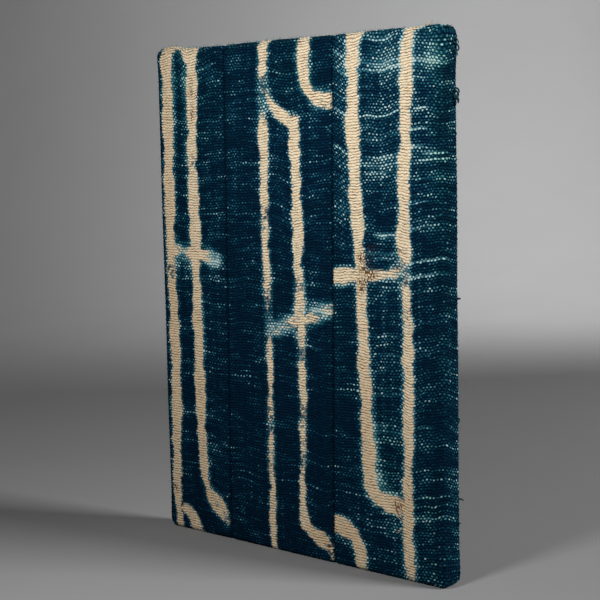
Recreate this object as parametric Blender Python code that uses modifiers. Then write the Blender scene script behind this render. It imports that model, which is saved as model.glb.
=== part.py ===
"""Ndop cloth stretched over a mounting board.

Three narrow handwoven strips are sewn selvage to selvage, pulled over the face of a thin wooden
board, wrapped round its four edges and turned in on its back, where the corners are folded double.
The panel stands on its base edge.

Metres. X runs across the panel, Y from its face to its back, Z up. The origin is the middle of the
base edge. Run it with: blender --background --python part.py
"""

import math

import bmesh
import bpy
from mathutils import Vector

# The finished panel, as it stands
PANEL_WIDTH = 0.128
PANEL_HEIGHT = 0.1785
PANEL_DEPTH = 0.0085
CORNER_RADIUS = 0.0028

# The cloth, and what keeps pieces that touch apart
CLOTH_THICKNESS = 0.0012
DOUBLED_THICKNESS = 0.0019
CLEARANCE = 0.0003
TURN_IN = 0.020
CUT_EDGE_WANDER = 0.0007
CUT_EDGE_WAVE = 0.046
FACE_SHARE_OF_SWELL = 0.35

# Softened edges of the board, and of the space inside the cloth
BOARD_EDGE_RADIUS = 0.0005
WRAP_EDGE_RADIUS = 0.0006
CORNER_STEPS = 3
EDGE_STEPS = 2

# Where the two seams run: X at the top edge and at the base edge
SEAM_LEFT = (-0.0298, -0.0319)
SEAM_RIGHT = (0.0199, 0.0169)
OUTER_LEFT = (-PANEL_WIDTH / 2, -PANEL_WIDTH / 2)
OUTER_RIGHT = (PANEL_WIDTH / 2, PANEL_WIDTH / 2)

# name, boundary on the left, boundary on the right, folds of the surface across it
STRIPS = (
    ("cloth_strip_left", OUTER_LEFT, SEAM_LEFT, 8),
    ("cloth_strip_middle", SEAM_LEFT, SEAM_RIGHT, 8),
    ("cloth_strip_right", SEAM_RIGHT, OUTER_RIGHT, 9),
)
SURFACE_ROWS = 27

# Soft swells where the cloth stands off the board: X, Z, reach in X, reach in Z, height
SWELLS = (
    # tucked corners
    (-0.0575, 0.1775, 0.0062, 0.0050, 0.0013),
    (0.0625, 0.1735, 0.0060, 0.0065, 0.0008),
    (-0.0620, 0.0040, 0.0055, 0.0060, 0.0004),
    (0.0620, 0.0050, 0.0060, 0.0070, 0.0004),
    # slack along the wrapped sides
    (-0.0640, 0.1180, 0.0080, 0.0240, 0.0002),
    (-0.0640, 0.0480, 0.0080, 0.0200, 0.0003),
    (0.0640, 0.1250, 0.0080, 0.0200, 0.0003),
    (0.0640, 0.0700, 0.0080, 0.0160, 0.0002),
    # the top edge between the seams
    (-0.0080, 0.1785, 0.0150, 0.0060, 0.0002),
    (0.0420, 0.1785, 0.0090, 0.0060, 0.0003),
)

# Colours: the dyed cloth as it reads from a step away, and bare board
CLOTH_COLOUR = (0.030, 0.075, 0.105, 1.0)
BOARD_COLOUR = (0.420, 0.290, 0.175, 1.0)


def plain_material(name, colour, roughness):
    """A Principled finish of one colour."""
    material = bpy.data.materials.new(name)
    material.use_nodes = True
    shader = material.node_tree.nodes["Principled BSDF"]
    shader.inputs["Base Color"].default_value = colour
    shader.inputs["Roughness"].default_value = roughness
    shader.inputs["Metallic"].default_value = 0.0
    return material


def rounded_block(size, corner_radius, edge_radius):
    """An upright block standing on Z = 0: four round corners in front view, then soft rims."""
    height = size[2]
    mesh = bmesh.new()
    bmesh.ops.create_cube(mesh, size=1.0)
    bmesh.ops.scale(mesh, vec=size, verts=mesh.verts)
    bmesh.ops.translate(mesh, vec=(0.0, 0.0, height / 2), verts=mesh.verts)
    corners = [edge for edge in mesh.edges if runs_front_to_back(edge)]
    bmesh.ops.bevel(mesh, geom=corners, offset=corner_radius, offset_type="OFFSET",
                    segments=CORNER_STEPS, profile=0.5, affect="EDGES")
    rims = [edge for edge in mesh.edges if not runs_front_to_back(edge)]
    bmesh.ops.bevel(mesh, geom=rims, offset=edge_radius, offset_type="OFFSET",
                    segments=EDGE_STEPS, profile=0.5, affect="EDGES")
    return mesh


def runs_front_to_back(edge):
    """Whether an edge of the plain block lies along Y."""
    start, end = (vertex.co for vertex in edge.verts)
    return abs(start.y - end.y) > 0.5 * (start - end).length


def cut(mesh, point, normal, drop_ahead=False, drop_behind=False):
    """Cut the surface along a plane, and drop what lies ahead of it or behind it if asked."""
    everything = mesh.verts[:] + mesh.edges[:] + mesh.faces[:]
    bmesh.ops.bisect_plane(mesh, geom=everything, dist=1e-6, plane_co=point, plane_no=normal,
                           clear_outer=drop_ahead, clear_inner=drop_behind)


def upright_plane(at_top, at_base):
    """The plane through one X at the top edge and another at the base edge, facing +X."""
    lean = at_top - at_base
    point = Vector((at_base, 0.0, 0.0))
    normal = Vector((PANEL_HEIGHT, 0.0, -lean)).normalized()
    return point, normal


def between(left, right, share):
    """The boundary that lies a share of the way from the left one to the right one."""
    return tuple(a + (b - a) * share for a, b in zip(left, right))


def swell_at(place):
    """How far the cloth stands off the board at a place."""
    height = 0.0
    for x, z, reach_x, reach_z, rise in SWELLS:
        away = ((place.x - x) / reach_x) ** 2 + ((place.z - z) / reach_z) ** 2
        height += rise * math.exp(-away)
    return height


def on_back(face):
    """Whether a face lies on the back of the panel."""
    return face.normal.y > 0.9


def open_the_back(mesh):
    """Take away the middle of the back, and leave the turned-in cloth all round it."""
    reach_x = PANEL_WIDTH / 2 - TURN_IN
    window = []
    for face in mesh.faces:
        centre = face.calc_center_median()
        inside = abs(centre.x) < reach_x and TURN_IN < centre.z < PANEL_HEIGHT - TURN_IN
        if on_back(face) and inside:
            window.append(face)
    bmesh.ops.delete(mesh, geom=window, context="FACES")


def wander_cut_edge(mesh):
    """Let the scissor-cut edge on the back run a little unevenly."""
    side_starts = PANEL_WIDTH / 2 - 1.1 * TURN_IN
    for vertex in mesh.verts:
        place = vertex.co
        at_edge = any(edge.is_boundary for edge in vertex.link_edges)
        if not at_edge or place.y < PANEL_DEPTH / 4:
            continue
        if not TURN_IN / 2 < place.z < PANEL_HEIGHT - TURN_IN / 2:
            continue
        wander = CUT_EDGE_WANDER * math.sin(math.tau * (place.x + place.z) / CUT_EDGE_WAVE)
        if abs(place.x) > side_starts:
            place.x += wander
        else:
            place.z += wander


def lift_swells(mesh):
    """Move the cloth off the board by the table of swells: most at the edges, none at the base."""
    mesh.normal_update()
    moves = []
    for vertex in mesh.verts:
        normal = vertex.normal
        base_share = 1.0 - min(1.0, max(0.0, -1.5 * normal.z))
        edge_share = 1.0 - (1.0 - FACE_SHARE_OF_SWELL) * abs(normal.y)
        moves.append(normal * swell_at(vertex.co) * base_share * edge_share)
    for vertex, move in zip(mesh.verts, moves):
        vertex.co += move


def doubled_share(place):
    """1 along the folded corners on the back, falling to 0 away from them."""
    if place.y < PANEL_DEPTH / 4:
        return 0.0
    from_side = PANEL_WIDTH / 2 - abs(place.x)
    from_end = min(place.z, PANEL_HEIGHT - place.z)
    if max(from_side, from_end) > TURN_IN or min(from_side, from_end) < CORNER_RADIUS:
        return 0.0
    return max(0.0, 1.0 - abs(from_side - from_end) / (TURN_IN / 2))


def wrapped_strip(name, left, right, columns, material, collection):
    """One strip of cloth: front, wrapped edges and turned-in back, cut out of one wrapping."""
    inside = (PANEL_WIDTH - 2 * CLOTH_THICKNESS, PANEL_DEPTH - 2 * CLOTH_THICKNESS,
              PANEL_HEIGHT - 2 * CLOTH_THICKNESS)
    wrap = rounded_block(inside, CORNER_RADIUS - CLOTH_THICKNESS, WRAP_EDGE_RADIUS)
    bmesh.ops.translate(wrap, vec=(0.0, 0.0, CLOTH_THICKNESS), verts=wrap.verts)

    half_gap = CLEARANCE / 2
    if left is not OUTER_LEFT:
        point, normal = upright_plane(left[0] + half_gap, left[1] + half_gap)
        cut(wrap, point, normal, drop_behind=True)
    if right is not OUTER_RIGHT:
        point, normal = upright_plane(right[0] - half_gap, right[1] - half_gap)
        cut(wrap, point, normal, drop_ahead=True)
    for column in range(1, columns):
        cut(wrap, *upright_plane(*between(left, right, column / columns)))
    for row in range(1, SURFACE_ROWS):
        height = PANEL_HEIGHT * row / SURFACE_ROWS
        cut(wrap, Vector((0.0, 0.0, height)), Vector((0.0, 0.0, 1.0)))

    open_the_back(wrap)
    wander_cut_edge(wrap)
    lift_swells(wrap)

    mesh = bpy.data.meshes.new(name)
    wrap.to_mesh(mesh)
    wrap.free()
    strip = bpy.data.objects.new(name, mesh)
    collection.objects.link(strip)
    mesh.materials.append(material)

    single = CLOTH_THICKNESS / DOUBLED_THICKNESS
    thickness = strip.vertex_groups.new(name="thickness")
    for vertex in mesh.vertices:
        share = single + (1.0 - single) * doubled_share(vertex.co)
        thickness.add([vertex.index], share, "REPLACE")
    solidify = strip.modifiers.new("Cloth thickness", "SOLIDIFY")
    solidify.thickness = DOUBLED_THICKNESS
    solidify.offset = 1.0
    solidify.use_even_offset = True
    solidify.use_rim = True
    solidify.vertex_group = thickness.name
    return strip


def mounting_board(collection):
    """The plain board that the cloth is stretched over."""
    wall = CLOTH_THICKNESS + CLEARANCE
    size = (PANEL_WIDTH - 2 * wall, PANEL_DEPTH - 2 * wall, PANEL_HEIGHT - 2 * wall)
    block = rounded_block(size, CORNER_RADIUS - CLOTH_THICKNESS, BOARD_EDGE_RADIUS)
    mesh = bpy.data.meshes.new("mounting_board")
    block.to_mesh(mesh)
    block.free()
    board = bpy.data.objects.new("mounting_board", mesh)
    board.location = (0.0, 0.0, wall)
    collection.objects.link(board)
    mesh.materials.append(plain_material("bare board", BOARD_COLOUR, 0.75))
    return board


def main():
    for old in list(bpy.data.objects):
        bpy.data.objects.remove(old, do_unlink=True)
    collection = bpy.data.collections.new("Stretched ndop cloth")
    bpy.context.scene.collection.children.link(collection)

    mounting_board(collection)
    for name, left, right, columns in STRIPS:
        material = plain_material(name.replace("_", " "), CLOTH_COLOUR, 0.9)
        wrapped_strip(name, left, right, columns, material, collection)


main()
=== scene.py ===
# %% [markdown]
# # Ndop cloth, stretched over a board
# Ndop is a cotton cloth woven by hand in narrow strips. The strips are sewn side by side, the
# pattern is stitched and bound so tightly that dye can't reach it, and the cloth goes into an
# indigo vat. Where the binding was, cream lines stay behind.
# Here a piece of such cloth is pulled over a thin board and stands on its lower edge. The board is
# right as it comes from the construction. The three strips of cloth are made anew, thread by
# thread, because the eye reads this object by its weave.

# %% Load the construction, and a helper that reads a part's box
import math

import bpy
import numpy as np
from mathutils import Matrix, Vector


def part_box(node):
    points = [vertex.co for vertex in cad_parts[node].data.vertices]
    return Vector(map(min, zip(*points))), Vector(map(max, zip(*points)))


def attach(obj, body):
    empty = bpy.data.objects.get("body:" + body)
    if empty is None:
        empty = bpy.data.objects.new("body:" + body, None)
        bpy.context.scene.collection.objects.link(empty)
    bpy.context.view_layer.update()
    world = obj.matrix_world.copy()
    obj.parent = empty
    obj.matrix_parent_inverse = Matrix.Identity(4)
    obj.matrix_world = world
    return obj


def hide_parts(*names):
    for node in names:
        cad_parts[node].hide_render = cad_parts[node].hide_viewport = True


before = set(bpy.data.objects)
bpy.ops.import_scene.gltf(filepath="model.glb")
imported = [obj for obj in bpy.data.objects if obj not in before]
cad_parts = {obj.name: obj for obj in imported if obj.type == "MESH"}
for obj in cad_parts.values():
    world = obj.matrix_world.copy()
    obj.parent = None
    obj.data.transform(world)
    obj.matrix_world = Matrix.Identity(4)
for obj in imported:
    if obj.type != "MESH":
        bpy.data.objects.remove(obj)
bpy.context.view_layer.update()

# %% [markdown]
# ## The camera
# A photograph of a flat panel tells where its camera stood: the two upright edges, the slope of the
# top and base edges and the sliver of side that shows leave only one answer. It is close, a little
# above the middle of the panel, well round to the right, and rolled by about a degree.

# %% Camera
CAMERA_PLACE = Vector((0.3056, -0.3490, 0.1406))
CAMERA_TURN = math.radians(-41.17)
CAMERA_DIP = math.radians(6.27)
CAMERA_ROLL = math.radians(-1.19)
CAMERA_LENS = 80.9
SENSOR_WIDTH = 36.0


def camera_axes(turn, dip, roll):
    """The camera's right, up and forward directions, from a turn round Z, a dip and a roll."""
    forward = Vector((math.sin(turn) * math.cos(dip), math.cos(turn) * math.cos(dip),
                      -math.sin(dip)))
    level = Vector((math.cos(turn), -math.sin(turn), 0.0))
    upright = level.cross(forward)
    right = level * math.cos(roll) + upright * math.sin(roll)
    up = upright * math.cos(roll) - level * math.sin(roll)
    return right, up, forward


bpy.ops.object.select_all(action="DESELECT")
bpy.ops.object.camera_add(location=CAMERA_PLACE)
camera = bpy.context.active_object
camera.name = "camera"
camera.data.lens = CAMERA_LENS
camera.data.sensor_width = SENSOR_WIDTH
camera_right, camera_up, camera_forward = camera_axes(CAMERA_TURN, CAMERA_DIP, CAMERA_ROLL)
camera.rotation_euler = Matrix((camera_right, camera_up, -camera_forward)).transposed().to_euler()
bpy.context.scene.camera = camera
print("camera stands", round(CAMERA_PLACE.length, 3), "m from the middle of the base edge")

# %% [markdown]
# ## Sizes
# The cloth's outer face stands a little off the board. Its path over an edge is a bend, the narrow
# side, a second bend, and then the turned-in part on the back. Everything below is worked out from
# these few sizes and from the board in the construction.

# %% Sizes of the panel and of the cloth
board_low, board_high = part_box("mounting_board")
STAND_OFF = 0.0015
BASE_Z = board_low.z - STAND_OFF
TOP_Z = board_high.z + STAND_OFF
HALF_WIDTH = board_high.x + STAND_OFF
HALF_DEPTH = board_high.y + STAND_OFF
MIDDLE_Z = (BASE_Z + TOP_Z) / 2

EDGE_RADIUS = 0.0018
CORNER_RADIUS = 0.0028
TURN_IN = 0.020
CLOTH_THICKNESS = 0.0009
# from one warp thread to the next, and from one row of weft to the next
WARP_PITCH = 0.00072
WEFT_PITCH = 0.00095

# The part of the cloth that lies flat on the face, and how far it goes past that
FACE_X = HALF_WIDTH - EDGE_RADIUS
FACE_Z = (TOP_Z - BASE_Z) / 2 - EDGE_RADIUS
BEND = EDGE_RADIUS * math.pi / 2
SIDE = 2 * (HALF_DEPTH - EDGE_RADIUS)
ROUND_THE_EDGE = 2 * BEND + SIDE
FLAP = ROUND_THE_EDGE + TURN_IN - EDGE_RADIUS

# Each upright line is its X at the top of the panel and at its base
SEAM_LEFT = (-0.0298, -0.0319)
SEAM_RIGHT = (0.0199, 0.0169)
FACE_LEFT = (-FACE_X, -FACE_X)
FACE_RIGHT = (FACE_X, FACE_X)
CUT_LEFT = (-FACE_X - FLAP, -FACE_X - FLAP)
CUT_RIGHT = (FACE_X + FLAP, FACE_X + FLAP)
print("flat cloth, mm:", round(2000 * (FACE_X + FLAP), 1), "x", round(2000 * (FACE_Z + FLAP), 1))

# %% [markdown]
# ## Folding flat cloth round the board
# The cloth starts flat. One function folds it: it measures how far a point lies past the flat face,
# and follows the bend, the side, the second bend and the back. Near the panel's corners the four
# flat directions turn into each other through an eighth of a circle each, so the two flaps of a
# corner meet on its diagonal, like the mitre of a picture frame.


# %% The fold
def follow_edge(past):
    """Reach outwards, depth and facing angle of cloth that lies this far past the flat face."""
    first_bend = np.clip(past / EDGE_RADIUS, 0, math.pi / 2)
    second_bend = np.clip((past - BEND - SIDE) / EDGE_RADIUS, 0, math.pi / 2)
    on_side = np.clip(past - BEND, 0, SIDE)
    behind = np.maximum(past - ROUND_THE_EDGE, 0)
    bent = EDGE_RADIUS * (np.sin(first_bend) + np.cos(second_bend) - 1)
    reach = np.minimum(past, 0) + bent - behind
    depth = EDGE_RADIUS * (1 - np.cos(first_bend)) + on_side + EDGE_RADIUS * np.sin(second_bend)
    return reach, depth - HALF_DEPTH, first_bend + second_bend


def fold(flat_x, flat_z):
    """Fold flat cloth round the board: where each point goes, and which way it faces there."""
    from_middle = flat_z - MIDDLE_Z
    past_x = np.abs(flat_x) - FACE_X
    past_z = np.abs(from_middle) - FACE_Z
    sideways = past_x >= past_z
    reach, depth, facing = follow_edge(np.maximum(past_x, past_z))

    corner = CORNER_RADIUS - EDGE_RADIUS
    turn_radius = corner + reach
    along = np.where(sideways, from_middle, flat_x)
    straight = np.where(sideways, FACE_Z, FACE_X) - corner
    beyond = np.abs(along) - straight
    span = np.where(reach < 0, np.maximum(turn_radius, 1e-9), corner)
    turning = (beyond > 0) & (turn_radius > 0)
    turn = np.where(turning, np.clip(beyond / span, 0, 1) * math.pi / 4, 0.0)

    out = np.where(sideways, FACE_X, FACE_Z) - corner + turn_radius * np.cos(turn)
    off = np.where(turning, straight + turn_radius * np.sin(turn), np.abs(along)) * np.sign(along)
    out_way = np.where(sideways, np.sign(flat_x), np.sign(from_middle))
    place = np.empty((len(flat_x), 3))
    place[:, 0] = np.where(sideways, out * out_way, off)
    place[:, 1] = depth
    place[:, 2] = np.where(sideways, off, out * out_way) + MIDDLE_Z

    normal_out = np.sin(facing) * np.cos(turn) * out_way
    normal_off = np.sin(facing) * np.sin(turn) * np.sign(along)
    normal = np.empty_like(place)
    normal[:, 0] = np.where(sideways, normal_out, normal_off)
    normal[:, 1] = -np.cos(facing)
    normal[:, 2] = np.where(sideways, normal_off, normal_out)
    return place, normal


print("cloth goes", round(FLAP * 1000, 1), "mm past each edge of the flat face")

# %% [markdown]
# ## Threads that wander
# Rows of weft are never straight here. The bindings of the resist pulled the cloth out of square,
# so rows sag between two lines, slant beside a seam and climb towards the right-hand edge. On top
# of that, handspun yarn wanders a little of its own. All this is done while the cloth is flat.

# %% How rows of weft lie: a height on the panel, then X and shift along Z at places across (mm)
ROW_FLOW = (
    (178, (
        (-60, 0.6), (-54, 1), (-48, -1.6), (-42, -1.2), (-33, 0.8), (-28, 0.2), (-13, 0.4),
        (-8, 0.9), (-2, -0.7), (8, -0.3), (18, 0.4), (20, 0.5), (26, -2.2), (29, -2.1), (33, -1.3),
        (40, -2), (48, -0.2), (53, 0.2), (60, -0.8), (65, -2.2))),
    (150, (
        (-60, 0.3), (-56, 0.3), (-51, -0.9), (-47, -1.2), (-42, -0.8), (-33, -0.4), (-28, 0),
        (-13, -0.3), (-8, 0.2), (2, -1), (8, 0), (18, 0.2), (20, 1.1), (26, -1.5), (29, -1.3),
        (33, -0.6), (40, -1), (47, 0.3), (52, 0), (58, 0.2), (65, -0.2))),
    (117, (
        (-60, 0), (-46, -0.4), (-36, 0.1), (-31, 0.4), (-28, 0), (-13, 0.6), (-8, 1.2), (2, -1.6),
        (6, -1), (12, 0.1), (18, 0.5), (20, 1.4), (26, -1), (30, -1), (34, 0), (40, -0.4),
        (46, 0.1), (51, -0.5), (57, 0.4), (65, 1.1))),
    (100, (
        (-60, 0), (-52, -0.5), (-46, 0), (-36, -0.4), (-30, -0.6), (-20, 0.8), (-12, 0.5),
        (-8, 0.8), (2, -0.4), (6, 0.2), (18, -0.2), (26, 0.1), (34, 0), (40, 0.2), (46, 0.3),
        (50, -1), (57, 0.4), (65, 1.9))),
    (60, (
        (-60, 0), (-46, 0.2), (-33, -0.2), (-20, 0.4), (-12, 0), (3, 0), (8, 0.3), (14, -0.6),
        (18, -0.4), (28, 0.4), (34, -0.2), (46, 0.6), (50, -0.6), (58, 1.4), (65, 2.7))),
    (24, (
        (-60, 0), (-50, 0.3), (-42, -0.2), (-33, -0.6), (-26, 0.7), (-17, -0.5), (-10, 0), (4, 0.4),
        (14, -1.2), (18, 0.1), (30, -0.2), (34, -0.2), (46, 0), (50, -1), (58, 0.6), (65, 2.4))),
    (0, (
        (-60, 0), (-30, 0), (0, 0), (30, 0), (48, 0), (65, 0.9))),
)
# size across, size along, wavelength in X, wavelength in Z, start
YARN_WANDER = (
    (0.00016, 0.00014, 0.023, -0.061, 0.55),
    (0.00012, 0.00010, -0.011, 0.029, 0.30),
    (0.00006, 0.00008, 0.006, 0.012, 0.80),
)
SEAM_CALM = 0.0025
FLOW_FADE = 0.008
CORNER_CALM = 0.006


def line_x(line, z):
    """X of an upright line at a height."""
    top, base = line
    return base + (top - base) * (z - BASE_Z) / (TOP_Z - BASE_Z)


def from_seam(x, z):
    """How far points lie from the nearer seam."""
    return np.minimum(np.abs(x - line_x(SEAM_LEFT, z)), np.abs(x - line_x(SEAM_RIGHT, z)))


def ease(share):
    """A smooth step from 0 to 1."""
    share = np.clip(share, 0, 1)
    return share * share * (3 - 2 * share)


def rounded_profile(x, knots):
    """A line through the given knots, with soft corners."""
    places, shifts = np.array(knots, float).T
    index = np.clip(np.searchsorted(places, x) - 1, 0, len(places) - 2)
    share = ease((x - places[index]) / (places[index + 1] - places[index]))
    return shifts[index] + (shifts[index + 1] - shifts[index]) * share


def row_flow(x, z):
    """How far rows of weft lie above or below a straight line."""
    x, z = x * 1000, np.clip(z * 1000, ROW_FLOW[-1][0], ROW_FLOW[0][0])
    shift = np.zeros_like(x)
    for (upper, upper_knots), (lower, lower_knots) in zip(ROW_FLOW, ROW_FLOW[1:]):
        here = (z <= upper) & (z >= lower)
        share = ease((z[here] - lower) / (upper - lower))
        shift[here] = (rounded_profile(x[here], upper_knots) * share
                       + rounded_profile(x[here], lower_knots) * (1 - share))
    return shift / 1000


def wander(x, z):
    """How far threads stray from straight lines: across and along."""
    past_x = np.abs(x) - FACE_X
    past_z = np.abs(z - MIDDLE_Z) - FACE_Z
    at_corner = ease(1 + past_x / CORNER_CALM) * ease(1 + past_z / CORNER_CALM)
    across = np.zeros_like(x)
    along = row_flow(x, z) * (1 - ease(np.maximum(past_x, past_z) / FLOW_FADE)) * (1 - at_corner)
    for size_across, size_along, wave_x, wave_z, start in YARN_WANDER:
        wave = math.tau * (x / wave_x + z / wave_z + start)
        across += size_across * np.sin(wave * 1.3) * (1 - at_corner)
        along += size_along * np.sin(wave) * (1 - at_corner)
    across *= 1 - np.exp(-(from_seam(x, z) / SEAM_CALM) ** 2)
    return across, along


# %% [markdown]
# ## A strip, cut flat
# A grid primitive is a good piece of weaving: one column of faces for each warp, two rows for each
# weft, so that a vertex sits on every crossing and in every hollow between two rows. Its UV map
# counts threads, which the finish uses later to draw each one. The corners are cut out as a
# mounter cuts them: the square that is left over, then the mitre.


# %% Where the threads lie
def lay_threads(stops, pitch):
    """Places from the first stop to the last, evenly spread between each two stops."""
    stops = [np.array(stop, float).reshape(-1) for stop in stops]
    lines = [stops[0][None, :]]
    for start, end in zip(stops, stops[1:]):
        count = round(float(np.abs(end - start).mean()) / pitch)
        share = np.arange(1, count + 1)[:, None] / count
        lines.append(start + (end - start) * share)
    return np.vstack(lines)


weft_stops = [MIDDLE_Z + reach for reach in (-FACE_Z - FLAP, -FACE_Z, FACE_Z, FACE_Z + FLAP)]
weft_heights = lay_threads(weft_stops, WEFT_PITCH / 2)[:, 0]
print("weft rows:", (len(weft_heights) - 1) // 2)


# %% [markdown]
# The grid primitive makes the faces; foreach_get and foreach_set read and write all its vertices at
# once, which is quick even for sixty thousand crossings. Deleting faces and one bisect do the
# scissors' work.

# %% Make a flat strip, and cut its corners
def read_vectors(data, name, width):
    """A named value of every element of a mesh, as rows of numbers."""
    values = np.empty(len(data) * width, np.float32)
    data.foreach_get(name, values)
    return values.reshape(-1, width).astype(float)


def corner_vertices(mesh):
    """The vertex at each corner of each face."""
    indices = np.empty(len(mesh.loops), np.int32)
    mesh.loops.foreach_get("vertex_index", indices)
    return indices


def flat_strip(name, stops):
    """A flat strip of plain weave between upright lines, with its threads counted in its UV map."""
    warp_lines = lay_threads(stops, WARP_PITCH)
    columns = len(warp_lines) - 1
    half_rows = len(weft_heights) - 1
    bpy.ops.object.select_all(action="DESELECT")
    bpy.ops.mesh.primitive_grid_add(x_subdivisions=columns, y_subdivisions=half_rows, size=1.0)
    strip = bpy.context.active_object
    strip.name = name
    mesh = strip.data
    mesh.name = name

    square = read_vectors(mesh.vertices, "co", 3) + 0.5
    warp = np.rint(square[:, 0] * columns).astype(int)
    half_weft = np.rint(square[:, 1] * half_rows).astype(int)
    z = weft_heights[half_weft]
    x = line_x(warp_lines[warp].T, z)
    flat = np.stack([x, np.zeros_like(x), z], axis=1)
    mesh.vertices.foreach_set("co", flat.astype(np.float32).ravel())

    threads = mesh.uv_layers.active
    threads.name = "threads"
    counted = np.stack([warp, half_weft / 2], axis=1)[corner_vertices(mesh)]
    threads.data.foreach_set("uv", counted.astype(np.float32).ravel())
    mesh.update()
    return strip


def cut_corner(strip, way_x, way_z):
    """Cut a corner out of a flat strip: first the square that is left over, then the mitre."""
    mesh = strip.data
    bpy.context.view_layer.objects.active = strip
    bpy.ops.object.mode_set(mode="EDIT")
    bpy.ops.mesh.select_mode(type="FACE")
    bpy.ops.mesh.select_all(action="DESELECT")
    bpy.ops.object.mode_set(mode="OBJECT")
    centres = read_vectors(mesh.polygons, "center", 3)
    spare = (way_x * centres[:, 0] > FACE_X) & (way_z * (centres[:, 2] - MIDDLE_Z) > FACE_Z)
    mesh.polygons.foreach_set("select", spare)
    bpy.ops.object.mode_set(mode="EDIT")
    bpy.ops.mesh.delete(type="FACE")
    bpy.ops.mesh.select_all(action="SELECT")
    mitre_point = (way_x * (FACE_X + ROUND_THE_EDGE), 0.0, MIDDLE_Z + way_z * FACE_Z)
    bpy.ops.mesh.bisect(plane_co=mitre_point, plane_no=(way_x, 0.0, way_z), clear_outer=True)
    bpy.ops.object.mode_set(mode="OBJECT")
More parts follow.
